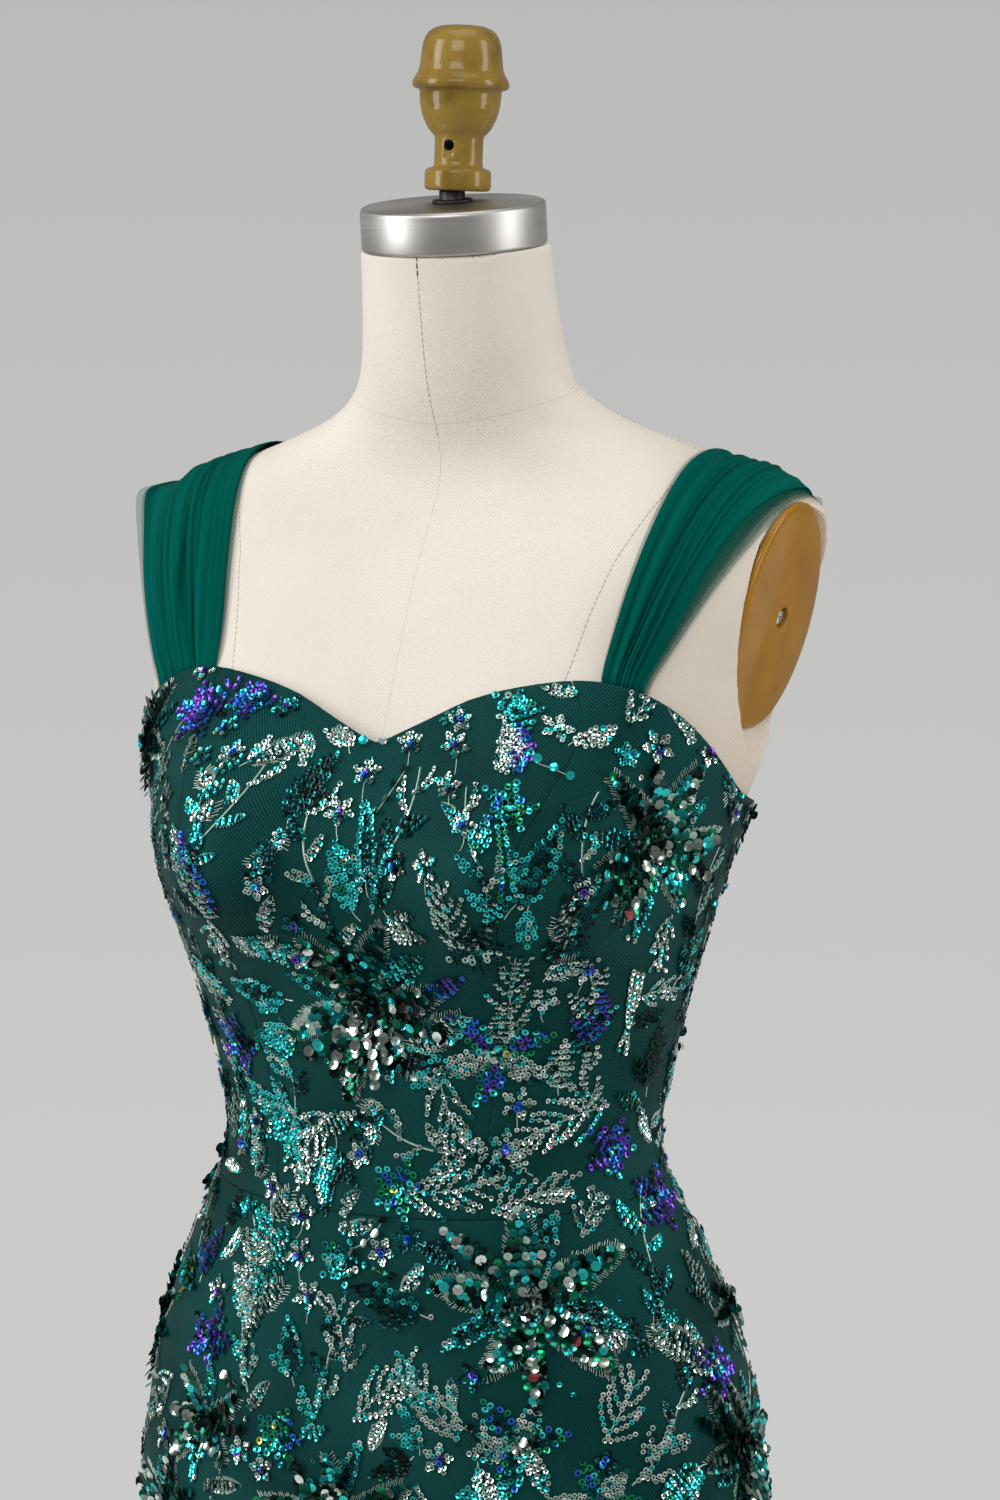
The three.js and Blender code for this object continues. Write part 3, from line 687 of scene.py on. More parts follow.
def taut_line(across, strap):
    """One line of the band, from the front rim over the shoulder to the back rim."""
    ends = (strap["front"], strap["shoulder"], strap["back"])
    front, shoulder, back = [inner + (outer - inner) * across for inner, outer in ends]
    ridge = shoulder * MM
    start, end = rim(math.radians(front)), rim(math.radians(back))
    over = []
    for y in np.linspace(0, 110, 56) * MM:
        hit = shoulder_tree.ray_cast(Vector((min(ridge, 0.187), y, WAIST + 0.6)), Vector((0, 0, -1)), 0.6)
        if hit[0] is not None and hit[0].z > WAIST + 0.28:
            over.append(np.array([ridge, y, hit[0].z + CLEAR]))
    top = max(p[2] for p in over)
    found = [p for p in over if p[2] > top - 12 * MM]
    for t in np.linspace(0.06, 0.97, 50):
        for foot, way in ((start, 1), (end, -1)):
            x, z = foot[0] + (ridge - foot[0]) * t, foot[2] + (top - foot[2]) * t
            hit = shoulder_tree.ray_cast(Vector((x, -OUTSIDE * way, z)), Vector((0, way, 0)), 2 * OUTSIDE)
            if hit[0] is not None:
                found.append(np.array([x, hit[0].y - way * CLEAR, z]))
    line = taut_over([start, *found, end], (0, 0.03, WAIST + 0.2))
    reached = run_along(line[:, 1:])
    places = np.linspace(0, reached[-1], STATIONS)
    y, z = np.interp(places, reached, line[:, 1]), np.interp(places, reached, line[:, 2])
    before = np.arange(STATIONS) < np.argmax(z)
    foot_x, foot_z = np.where(before, start[0], end[0]), np.where(before, start[2], end[2])
    climbed = np.clip((z - foot_z) / (z.max() - foot_z), 0, 1)
    inward, outward = strap["swing"]
    bow = outward * max(2 * across - 1, 0) - inward * max(1 - 2 * across, 0)
    swing = bow * MM * np.sin(math.pi * climbed**0.7)
    return np.stack([foot_x + (ridge - foot_x) * climbed + swing, y, z], -1)


bands = {}
for strap in STRAP_SIDES:
    lines = np.array([taut_line(a, strap) for a in BAND])
    bands[strap["hand"]] = smoothed(smoothed(lines, 1.2, 1), 1.0)


def band_point(across, along, hand):
    """A point of the taut band, with its normal."""
    lines = bands[hand]
    a = np.clip((across - BAND[0]) / (BAND[1] - BAND[0]), 0, len(BAND) - 1.001)
    s = np.clip(along, 0, 1) * (STATIONS - 1) * 0.99999
    a0, s0 = np.floor(a).astype(int), np.floor(s).astype(int)
    fa, fs = (a - a0)[..., None], (s - s0)[..., None]
    here, beside = lines[a0, s0], lines[a0 + 1, s0]
    ahead, ahead_beside = lines[a0, s0 + 1], lines[a0 + 1, s0 + 1]
    point = (here * (1 - fa) + beside * fa) * (1 - fs) + (ahead * (1 - fa) + ahead_beside * fa) * fs
    return point, unit(np.cross(beside - here, ahead - here))


# Pleats of the gathered tulle: where each crest lies across the band at the front rim, at the shoulder and at
# the back rim, how high it stands there in mm, how far it spreads, and the side on which it drops sharply.
PLEATS = [
    {"crest": (0.10, 0.07, 0.08), "high": (1.0, 1.4, 1.2), "wide": 0.110, "drop": 1},
    {"crest": (0.27, 0.23, 0.22), "high": (2.5, 1.9, 2.0), "wide": 0.120, "drop": -1},
    {"crest": (0.31, 0.34, 0.33), "high": (0.4, 1.2, 0.3), "wide": 0.020, "drop": -1},
    {"crest": (0.37, 0.40, 0.38), "high": (2.2, 0.3, 1.6), "wide": 0.030, "drop": -1},
    {"crest": (0.47, 0.51, 0.48), "high": (2.8, 2.2, 2.2), "wide": 0.130, "drop": -1},
    {"crest": (0.56, 0.46, 0.56), "high": (1.9, 1.1, 2.0), "wide": 0.024, "drop": 1},
    {"crest": (0.60, 0.58, 0.61), "high": (0.4, 1.3, 0.4), "wide": 0.022, "drop": 1},
    {"crest": (0.66, 0.65, 0.67), "high": (2.3, 0.4, 1.5), "wide": 0.040, "drop": 1},
    {"crest": (0.76, 0.77, 0.78), "high": (2.1, 1.6, 2.0), "wide": 0.130, "drop": 1},
    {"crest": (0.90, 0.93, 0.92), "high": (1.7, 0.5, 1.5), "wide": 0.050, "drop": -1},
]


def three_way(values, along):
    """A smooth run through values at the front rim, the shoulder and the back rim."""
    a, b, c = values
    return a + (4 * b - 3 * a - c) * along + (2 * a + 2 * c - 4 * b) * along**2


def fold_height(across, along, hand):
    """How high the pleats raise the tulle over the taut band."""
    height = np.zeros_like(across)
    for i, pleat in enumerate(PLEATS):
        wander = 0.014 * np.sin(6 * along + 2.1 * i + hand) + 0.006 * np.sin(15 * along + 1.3 * i)
        crest = three_way(pleat["crest"], along) + wander
        wide = pleat["wide"] * (1 - 0.22 * np.cos(TAU * along))
        off = (across - crest) / wide * np.where((across - crest) * pleat["drop"] > 0, 2.8, 1)
        height += three_way(pleat["high"], along) * MM * np.exp(-np.abs(off) ** 1.5)
    return height - 0.9 * MM


def hollow_share(height):
    """How deep each point lies in a crease of the folded band, from 0 to 1, which the tulle takes as painted
    shade.
    """
    kernel = np.exp(-np.linspace(-2, 2, 13) ** 2)
    padded = np.pad(height, ((0, 0), (6, 6)), mode="edge")
    mean = sum(k * padded[:, i : i + height.shape[1]] for i, k in enumerate(kernel)) / kernel.sum()
    return np.clip((mean - height) / (0.55 * MM), 0, 1)


def turned(grid, hand):
    """A grid across the band, in the order that keeps its faces outward on this hand's side."""
    return grid if hand > 0 else grid[:, ::-1]


def band_layer(across, along, raised, hand):
    """Points of a layer over the taut band, tucked in behind the bodice at both ends."""
    point, normal = band_point(across, along, hand)
    from_end = np.minimum(along, 1 - along)
    free = np.clip(from_end / 0.05, 0, 1) ** 0.8
    point = point + normal * (raised * (0.15 + 0.85 * free) - 0.6 * MM * (1 - free))[..., None]
    point[..., 2] -= TUCK * (1 - np.clip(from_end / 0.03, 0, 1)) ** 2
    return turned(point * [hand, 1, 1], hand)


def strap_uv(across, along, hand):
    return turned(np.stack([across * 0.07, along * 0.34], -1), hand).reshape(-1, 2)


# For each hand, how far across the many layers reach, and how much less on the chest and the back.
DENSE_TO = {1: (0.95, 0.13), -1: (0.99, 0.03)}
SHEERS = [  # layers whose edges show beyond the folded band: from, to (across), lift in mm, how it wanders
    {"from": 0.74, "to": 0.925, "lift": -0.2, "wander": 0.8},
    {"from": 0.76, "to": 0.970, "lift": -0.5, "wander": 3.6},
    {"from": 0.78, "to": 1.015, "lift": -0.8, "wander": 2.9},
    {"from": 0.80, "to": 1.050, "lift": -1.1, "wander": 5.0},
    {"from": -0.040, "to": 0.16, "lift": -0.3, "wander": 4.2},
]


def dense_edge(along, hand):
    """How far across the band its many layers reach at this place along it."""
    far, less = DENSE_TO[hand]
    for middle in (0.24, 0.8):
        far = far - less * np.exp(-(((along - middle) / 0.16) ** 2))
    return far


def folded_strap(side, hand):
    """The strap's many layers, as one wall with pleats."""
    share, along = np.meshgrid(np.linspace(0, 1, 121), np.linspace(0, 1, STATIONS))
    far = dense_edge(along, hand)
    across = share * far
    raised = fold_height(across, along, hand)
    thick = 0.9 * MM * np.clip(np.minimum(across, far - across) / 0.02, 0.35, 1) ** 0.5
    outer = band_layer(across, along, raised + thick / 2, hand)
    inner = band_layer(across, along, np.maximum(raised - thick / 2, -1.3 * MM) * 0.9, hand)
    uv = np.tile(strap_uv(across, along, hand), (2, 1))
    # painted shade in the creases of the folded tulle
    shade = turned(hollow_share(raised), hand).ravel()
    piece = new_object(f"strap_{side}_gathered", *closed_wall(outer, inner), [TULLE], uv=uv)
    tint(piece, np.concatenate([shade, shade]))
    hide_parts(f"strap_{side}")
    return piece


def sheer_strap(name, layer, hand):
    """One thin layer whose outer edge wanders."""
    share, along = np.meshgrid(np.linspace(0, 1, 34), np.linspace(0, 1, 73))
    ragged = 0.010 * np.sin(5 * along + layer["wander"]) + 0.006 * np.sin(13 * along + 2 * layer["wander"])
    narrow = 1 - 0.5 * np.exp(-((np.minimum(along, 1 - along) / 0.1) ** 2))
    low, high, free_edge = layer["from"], layer["to"], -1
    if low < 0:
        low, free_edge = (low + ragged) * narrow, 0
    else:
        high = high + ragged * narrow
    across = low + (high - low) * share
    raised = np.maximum(fold_height(across, along, hand) * 0.8 + layer["lift"] * MM, -1.2 * MM)
    sheer = band_layer(across, along, raised, hand)
    piece = new_object(name, sheer, grid_faces(*share.shape), [SHEER], uv=strap_uv(across, along, hand))
    painted_shade = hollow_share(raised)
    # painted shade along the sheer layer's free edge
    painted_shade[:, free_edge] = 0.9
    tint(piece, turned(painted_shade, hand).ravel())


for strap in STRAP_SIDES:
    folded = folded_strap(strap["side"], strap["hand"])
    for i, layer in enumerate(SHEERS):
        sheer_strap(f"strap_{strap['side']}_sheer_{i}", layer, strap["hand"])

# ---------------------------------------------------------------- the form

form = smooth_copy("form_body", "form_canvas", CANVAS)
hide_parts("form_body")
visual_tree = BVHTree.FromObject(form, bpy.context.evaluated_depsgraph_get())


class Cords:
    """Many thin cords with a roof-shaped section, joined in one mesh."""

    def __init__(self):
        self.verts, self.faces, self.count = [], [], 0

    def add(self, points, normals, width, height):
        side = np.cross(normals, np.gradient(points, axis=0))
        side /= np.maximum(np.linalg.norm(side, axis=-1, keepdims=True), 1e-12)
        rows = np.stack([points + side * width / 2, points + normals * height, points - side * width / 2], 1)
        self.verts.append(rows.reshape(-1, 3))
        self.faces.append(grid_faces(len(points), 3, flip=True) + self.count)
        self.count += 3 * len(points)

    def build(self, name, made, slot):
        new_object(name, np.concatenate(self.verts), np.concatenate(self.faces), [made])


def snapped(path, out, lift):
    """Points dropped from outside onto the form, and its normals there; out is one way, or one for each."""
    points, normals = [], []
    for point, way in zip(path, np.broadcast_to(out, (len(path), 3))):
        way = Vector(way).normalized()
        hit = visual_tree.ray_cast(Vector(point) + way * 0.15, -way, 0.3)
        if hit[0] is not None:
            normal = hit[1] if hit[1].dot(way) > 0 else -hit[1]
            points.append(hit[0] + normal * lift)
            normals.append(normal)
    return np.array(points), np.array(normals)


seams, stitches, tacking = Cords(), Cords(), Cords()
STITCH_PITCH = 3.4 * MM


def seam(path, out, width, dashes=True):
    """A sewn seam along a path, seen from out: a low ridge painted darker as shade in its groove, with its
    stitches.
    """
    points, normals = snapped(path, out, 0.02 * MM)
    seams.add(points, normals, width * MM, 0.16 * MM)
    if not dashes:
        return
    reached = run_along(points)
    for start in np.arange(0, reached[-1] - 2.2 * MM, STITCH_PITCH):
        at = np.array([start, start + 1.0 * MM, start + 1.9 * MM])
        line, up = read_off(at, reached, points), read_off(at, reached, normals)
        stitches.add(line + up * 0.12 * MM, up, 0.4 * MM, 0.22 * MM)


FRONT, BACK = (0, -1, 0), (0, 1, 0)
cap_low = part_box("neck_cap")[0].z
seam([(0, -0.05, z) for z in np.linspace(cap_low + 2 * MM, WAIST + 0.385, 70)], FRONT, 0.7)
seam([(0, -0.1, z) for z in np.linspace(WAIST + 0.384, WAIST + 0.20, 70)], FRONT, 0.35, False)
seam([(0, 0.1, z) for z in np.linspace(cap_low - 4 * MM, WAIST + 0.15, 120)], BACK, 0.7)
round_neck = np.linspace(-math.pi, math.pi, 161)
neck_up = 0.401 - 0.017 * np.cos(round_neck)  # the neck's seam is lower in front
neck_y = np.where(neck_up > 0.40, 0.036, 0.045) - np.cos(round_neck) * 0.02
neck_out = np.stack([np.sin(round_neck), -np.cos(round_neck), np.full(161, 0.25)], -1)
seam(np.stack([np.sin(round_neck) * 0.02, neck_y, WAIST + neck_up], -1), neck_out, 1.1, False)
PRINCESS_UP = [0.235, 0.262, 0.295, 0.322, 0.345, 0.372]  # heights above the waist, and half widths there
PRINCESS_X = [0.093, 0.098, 0.104, 0.111, 0.121, 0.134]
for way in (1, -1):
    ups = np.linspace(0.372, 0.235, 60)
    seam([(way * np.interp(up, PRINCESS_UP, PRINCESS_X), -0.1, WAIST + up) for up in ups], FRONT, 0.4)
    seam([(way * 0.15, 0.03, WAIST + up) for up in np.linspace(0.226, 0.10, 40)], (way, 0, 0), 0.6, False)
    seam([(way * x, 0.062, WAIST + 0.36) for x in np.linspace(0.066, 0.186, 40)], (0, -0.1, 1), 0.6)
for start in (-0.6, 3.2, 7.2):  # bold stitches under the cap at the centre front, in mm below it
    path = [(0, -0.05, cap_low - (start + down) * MM) for down in np.linspace(0, 2.5, 5)]
    dash = snapped(path, FRONT, 0.12 * MM)
    if len(dash[0]) > 1:
        tacking.add(*dash, 0.9 * MM, 0.35 * MM)
seams.build("form_seams", SEAM_RIDGE_AND_SHADE, "canvas")
stitches.build("form_stitches", STITCH, "canvas")
tacking.build("form_tacking", TACKING, "canvas")

# ---------------------------------------------------------------- cap, knob, plates and stand


def turned_piece(node, name, profile, place, made, segments=96):
    piece = lathe(name, profile, place, made, segments)
    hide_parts(node)
    return piece


def cut(piece, cutter):
    """Takes the cutter's shape out of a piece."""
    modifier = piece.modifiers.new("cut", "BOOLEAN")
    modifier.operation = "DIFFERENCE"
    modifier.solver = "EXACT"
    modifier.material_mode = "TRANSFER"
    modifier.object = cutter
    apply_modifiers(piece)
    bpy.data.objects.remove(cutter)


# Profiles are (radius, height) in millimetres, from the middle of the foot to the middle of the top.
CAP = [
    (0, 0), (49.2, 0), (50.2, 0.6), (50.4, 1.6), (50.4, 20.4), (50.2, 21.6), (49.6, 22.6), (48.4, 23.3),
    (44, 23.6), (30, 23.8), (14, 23.9), (0, 24),
]
BOLT = [(0, 0), (11, 0), (11, 0.8), (10.4, 1.2), (7.2, 1.3), (7, 1.6), (7, 5.7), (6.7, 6), (0, 6)]
KNOB = [
    (0, 0), (15.8, 0), (17.2, 0.5), (17.9, 1.6), (18, 3), (18, 9.4), (17.6, 10.8), (16, 11.9), (14.2, 12.3),
    (13.3, 13.2), (13.1, 16), (13.1, 27.6), (13.5, 29.2), (14.9, 30.6), (16.6, 32.6), (18.3, 35.4),
    (19.7, 38.5), (20.9, 42.2), (21.7, 46.5), (22.1, 50.5), (22.1, 53), (22.8, 54), (24.4, 54.3),
    (25.8, 55.2), (26.3, 56.8), (26, 58.6), (24.9, 60.6), (23.6, 62.8), (22.7, 65.4), (22.3, 68.6),
    (21.8, 73.5), (21.2, 78), (20.1, 81.6), (18.2, 84.6), (15.4, 86.7), (11.8, 88), (7, 88.6), (0, 88.8),
]
LEAN = Matrix.Rotation(math.radians(1.9), 4, Vector((-0.42, 0.91, 0)))  # the knob stands a little out of true
HOLE = [(0, -30), (3.0, -30), (3.0, 5), (0, 5)]
UP = (0, 0, 1)
turned_piece("neck_cap", "cap_steel", CAP, square_to_face("neck_cap", UP), STEEL, 128)
turned_piece("knob_bolt", "knob_bolt_black", BOLT, square_to_face("knob_bolt", UP), BLACK, 48)
knob_place = upright("knob") @ Matrix.Translation((0.0013, 0.0006, -0.002)) @ LEAN
knob = turned_piece("knob", "knob_painted", KNOB, knob_place, KNOB_PAINT, 112)
hole_place = knob_place @ Matrix.Translation((0, -0.005, 0.024)) @ Matrix.Rotation(math.radians(270), 4, "X")
# the cut gives the hole's walls the cutter's near-black material, as painted shade inside the hole
cut(knob, lathe("hole", HOLE, hole_place, HOLE_SHADE, 24))

PLATE_SIZE = np.array([63, 43])  # half the plate's length and width
SCREW_SEAT = 2.6
PLATE_RINGS = [  # share of the plate's half size, and height
    (0.965, 0.0), (0.985, 0.2), (1.0, 0.9), (1.0, 2.6), (0.992, 3.3), (0.972, 3.9), (0.93, 4.35),
    (0.87, 4.75), (0.8, 5.15), (0.7, 5.6), (0.6, 6.0), (0.5, 6.35), (0.4, 6.6), (0.3, 6.8), (0.2, 6.92),
]
SEAT_RINGS = [(6.6, 6.95), (6.0, 6.7), (5.7, 6.1), (5.6, 5.0), (5.6, SCREW_SEAT)]
PLATE = [(0, 0), *((PLATE_SIZE * share, height) for share, height in PLATE_RINGS)]
PLATE += [*SEAT_RINGS, (0, SCREW_SEAT)]
SCREW = [(0, 0), (4.7, 0), (4.9, 0.4), (4.9, 1.3), (4.5, 1.9), (3.6, 2.35), (2, 2.6), (0, 2.7)]
SLOT = {"half_length": 3, "half_width": 0.45, "from": -1.6, "to": 2, "up": 3.2, "turn": 0.4}
BOX_FACES = [(3, 2, 1, 0), (4, 5, 6, 7), (0, 1, 5, 4), (1, 2, 6, 5), (2, 3, 7, 6), (3, 0, 4, 7)]
for way, side in ((1, "left"), (-1, "right")):
    node = f"arm_plate_{side}"
    place = square_to_face(node, (way, 0, 0))
    turned_piece(node, node + "_gloss", PLATE, place, PLATE_GLOSS, 128)
    place = square_to_face(f"plate_screw_{side}", (way, 0, 0))
    screw = turned_piece(f"plate_screw_{side}", f"screw_{side}_chrome", SCREW, place, CHROME, 48)
    for turn in (SLOT["turn"], SLOT["turn"] + math.pi / 2):
        slot_place = place @ Matrix.Translation((0, 0, SLOT["up"] * MM)) @ Matrix.Rotation(turn, 4, "Z")
        x, y = SLOT["half_length"], SLOT["half_width"]
        flat = ((-x, -y), (x, -y), (x, y), (-x, y))
        steps = (SLOT["from"], SLOT["to"])
        corners = [slot_place @ Vector((x * MM, y * MM, z * MM)) for z in steps for x, y in flat]
        cut(screw, new_object("slot_cutter", corners, BOX_FACES, [CHROME], smooth=False))


def stand_piece(node, name, profile, made, segments=96):
    turned_piece(node, name, profile, upright(node), made, segments)


COLLAR = rounded([(0, 0), (20, 0), (22, 4), (24, 26), (46, 34), (48, 37), (48, 40), (0, 40)], 3)
stand_piece("stand_collar", "stand_collar_steel", COLLAR, STAND_STEEL)
pole_low, pole_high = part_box("stand_pole")
tall, thick = (pole_high.z - pole_low.z) / MM, (pole_high.x - pole_low.x) / 2 / MM
POLE = [(0, 0), (thick - 0.6, 0), (thick, 0.6), *((thick, h) for h in np.linspace(8, tall - 8, 12))]
POLE += [(thick, tall - 0.6), (thick - 0.6, tall), (0, tall)]
stand_piece("stand_pole", "stand_pole_steel", POLE, STAND_STEEL, 64)
BASE = [
    (0, 0), (208, 0), (212, 3), (212, 9), (206, 14), (60, 20), (40, 24), (32, 34), (30, 46), (26, 48),
    (0, 48),
]
BASE = rounded(BASE, 2)
stand_piece("stand_base", "stand_base_enamel", BASE, STAND_PAINT, 144)

# ---------------------------------------------------------------- the zip


def zip_part(node, name, made, body=BODY, bevel_width=0.25 * MM):
    """A node's own shape with its edges softened."""
    piece, edit = copy_of(node, name, made)
    bmesh.ops.dissolve_limit(edit, angle_limit=math.radians(1), verts=edit.verts, edges=edit.edges)
    edit.to_mesh(piece.data)
    edit.free()
    if bevel_width:
        bevel = piece.modifiers.new("bevel", "BEVEL")
        bevel.width = bevel_width
        bevel.segments = 3
        bevel.limit_method = "ANGLE"
    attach(piece, body)
    apply_modifiers(piece)
    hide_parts(node)


zip_part("zip_slider", "zip_slider_enamel", ZIP_METAL)
zip_part("zip_pull", "zip_tab_enamel", ZIP_METAL, "zip_tab")
zip_part("zip_tape", "zip_tape_cloth", ZIP_CLOTH, bevel_width=0)

# ---------------------------------------------------------------- the embroidery, flat, in millimetres

BROAD_RING = {"radius": 2.05, "hole": 0.5, "cup": 0.35}
RING = {"radius": 1.6, "hole": 0.5, "cup": 0.3}
SMALL_RING = {"radius": 1.45, "hole": 0.5, "cup": 0.3}
PAILLETTE = {"radius": 2.55, "hole": 0.13, "cup": 0.35}
LARGE_PAILLETTE = {"radius": 3.1, "hole": 0.12, "cup": 0.3}

MINT = {"mint": 6.5, "silver": 2.2, "grey": 0.7, "teal": 0.8, "cyan": 0.9, "deep_teal": 0.5}
BRIGHT_MINT = {"mint": 4, "silver": 4.5, "cyan": 1.2}
SEA = {"cyan": 6, "teal": 3, "mint": 0.8, "green": 0.4, "silver": 0.3}
DEEP = {"deep_teal": 5, "teal": 2, "dark": 2.6, "cyan": 0.7}
NIGHT = {"dark": 6, "deep_teal": 2, "emerald": 1.5}
VIOLET = {"violet": 5, "blue": 4, "cyan": 0.7, "dark": 0.8}
BLUES = {"blue": 5, "cyan": 3, "violet": 2.5, "green": 1}
PEACOCK = {"green": 4, "cyan": 4, "blue": 2, "gold": 0.5, "teal": 2}
LEAF_GREEN = {"emerald": 6, "dark": 4.5, "green": 1.2, "teal": 1.8, "cyan": 1.7, "mint": 0.7, "silver": 0.35}
CUPS = {"teal": 3, "mint": 2, "emerald": 3, "cyan": 1.6, "silver": 0.8, "dark": 1.5}
HEART = {"silver": 2.2, "grey": 5, "cyan": 0.9, "emerald": 1.6, "dark": 2, "gold": 0.12, "red": 0.05}
LOOSE = {"silver": 2, "cyan": 2, "mint": 2}


def pick(palette):
    """The number of a colour drawn by a palette's weights."""
    names = list(palette)
    weights = np.array([palette[n] for n in names], float)
    return SEQUIN_NAMES.index(names[rng.choice(len(names), p=weights / weights.sum())])


def towards(heading):
    return np.array([math.cos(heading), math.sin(heading)])


class Motif:
    """Sequins and threads drawn flat: u towards the wearer's left, v up."""

    def __init__(self):
        self.sequins = []  # u, v, heading, radius, hole, cup, tilt, lift, colour
        self.threads = []  # points, width, kind

    def sequin(self, u, v, heading, kind, palette, tilt=0.28, lift=0.0):
        size = kind["radius"] * rng.uniform(0.94, 1.06)
        tilt += rng.normal(0, 0.07)
        self.sequins.append((u, v, heading, size, kind["hole"], kind["cup"], tilt, lift, pick(palette)))

    def thread(self, points, width=0.55, kind="silver_thread"):
        self.threads.append((np.asarray(points, float), width, kind))


def bent(at, heading, length, bend, count):
    """Points and headings along a line that bends evenly."""
    t = np.linspace(0, 1, count)
    headings = heading + bend * t
    step = length / max(count - 1, 1)
    steps = np.stack([np.cos(headings), np.sin(headings)], -1) * step
    points = np.array(at, float) + np.concatenate([[[0, 0]], np.cumsum(steps[:-1], 0)])
    return points, headings


def comb(m, points, headings, side, length):
    """Short slanting stitches along one side of a line."""
    for p, h in zip(points, headings):
        lean = h + side * rng.uniform(0.7, 1.0)
        m.thread([p, p + length * rng.uniform(0.75, 1.2) * towards(lean)], 0.42)


def leaf(
    m, at, heading, length, width, palette, kind=RING, bend=0.0, edge=None, edged=False, tilt=0.28, lift=0.0
):
    """A leaf or petal of overlapping rows of sequins; edge colours its border, edged stitches round it."""
    pitch = kind["radius"] * (1.72 if kind["hole"] > 0.3 else 1.45)
    rows = max(int(length / pitch), 2)
    points, headings = bent(at, heading, length, bend, rows + 1)
    swell, lean = rng.uniform(0.75, 1.05), rng.normal(0, 0.12) * width
    border = [[], []]
    for i, (p, h) in enumerate(zip(points, headings)):
        t = i / rows
        half = width / 2 * math.sin(math.pi * (0.12 + 0.86 * t) ** swell) * rng.uniform(0.86, 1.14)
        side = np.array([-math.sin(h), math.cos(h)])
        p = p + side * lean * math.sin(math.pi * t)
        count = max(int(round(2 * half / pitch)) + 1, 1)
        for j in range(count):
            off = (j - (count - 1) / 2) * pitch
            spot = p + side * off + rng.normal(0, 0.16 * kind["radius"], 2)
            on_edge = edge is not None and (j in (0, count - 1) or t > 0.85)
            colours = edge if on_edge else palette
            m.sequin(*spot, h + 0.3 * off / max(half, 1), kind, colours, tilt, lift)
        border[0].append(p + side * (half + 0.9))
        border[1].append(p - side * (half + 0.9))
    if edged:
        for way, line in ((1, border[0]), (-1, border[1])):
            fine = np.linspace(0, rows, int(length / 1.25))
            dense = read_off(fine, np.arange(rows + 1), np.array(line))
            comb(m, dense, np.interp(fine, np.arange(rows + 1), headings), way, 3.6)


def chain(m, at, heading, length, palette, kind=SMALL_RING, bend=0.0, double=False, thread=True):
    """A line of sequins along a thread."""
    pitch = kind["radius"] * 1.62
    count = max(int(length / pitch), 2)
    points, headings = bent(at, heading, length, bend, count)
    if thread:
        m.thread(points, 0.5)
    for i, (p, h) in enumerate(zip(points, headings)):
        side = np.array([-math.sin(h), math.cos(h)])
        for off in (-0.9, 0.9) if double and 0 < i < count - 1 else (0,):
            spot = p + side * off + rng.normal(0, 0.15, 2)
            m.sequin(spot[0], spot[1], h, kind, palette, 0.22)
    return points, headings


def heart(m, size, palette=HEART, kind=PAILLETTE, count=8):
    """A cluster of upright paillettes in a motif's middle."""
    for _ in range(count):
        around, out = rng.uniform(0, TAU), size * math.sqrt(rng.uniform(0, 1))
        m.sequin(*out * towards(around), rng.uniform(0, 6.28), kind, palette, 0.5, 1.2)


def big_flower(size=36.0, petals=11, start=0.2, strands=False):
    """A wide flower: long petals of paillettes combed with silver thread, between petals of fine rings."""
    m = Motif()
    for i in range(petals):
        heading = start + TAU * i / petals + rng.normal(0, 0.07)
        length = size * rng.uniform(0.8, 1.16)
        root = towards(heading) * size * 0.12
        bend = rng.normal(0, 0.2)
        if i % 4 == 1:
            leaf(m, root, heading, length * 0.9, size * 0.22, DEEP, RING, bend, edge=SEA)
            continue
        wide = size * (0.25, 0.17)[i % 2]
        colours = (LEAF_GREEN, CUPS)[i % 4 == 2]
        edged = i % 2 == 0
        leaf(m, root, heading, length * 0.9, wide, colours, PAILLETTE, bend, edged=edged, tilt=0.4, lift=0.6)
        if i % 4 in (0, 3):
            vein, _ = bent(root, heading, length * 0.75, bend, 6)
            for p in vein[1:]:
                m.sequin(p[0], p[1], heading, LARGE_PAILLETTE, HEART, 0.5, 1.5)
    for _ in range(int(size * 0.2)):
        heading = rng.uniform(0, 6.28)
        m.sequin(*size * rng.uniform(0.5, 1.1) * towards(heading), heading, RING, SEA, 0.3)
    heart(m, size * 0.2, NIGHT, PAILLETTE, int(size * 0.4))
    heart(m, size * 0.15, kind=LARGE_PAILLETTE, count=int(size * 0.22))
    if strands:
        for off in (-13.0, -5.0, 3.0, 11.0):
            long = size * rng.uniform(0.5, 0.85)
            points, headings = bent((off * 0.55, -5), -math.pi / 2 + off * 0.03, long, 0, 7)
            for p, h in zip(points, headings):
                m.sequin(p[0] + rng.normal(0, 0.9), p[1], h, LARGE_PAILLETTE, HEART, 0.45, 1.8)
    return m


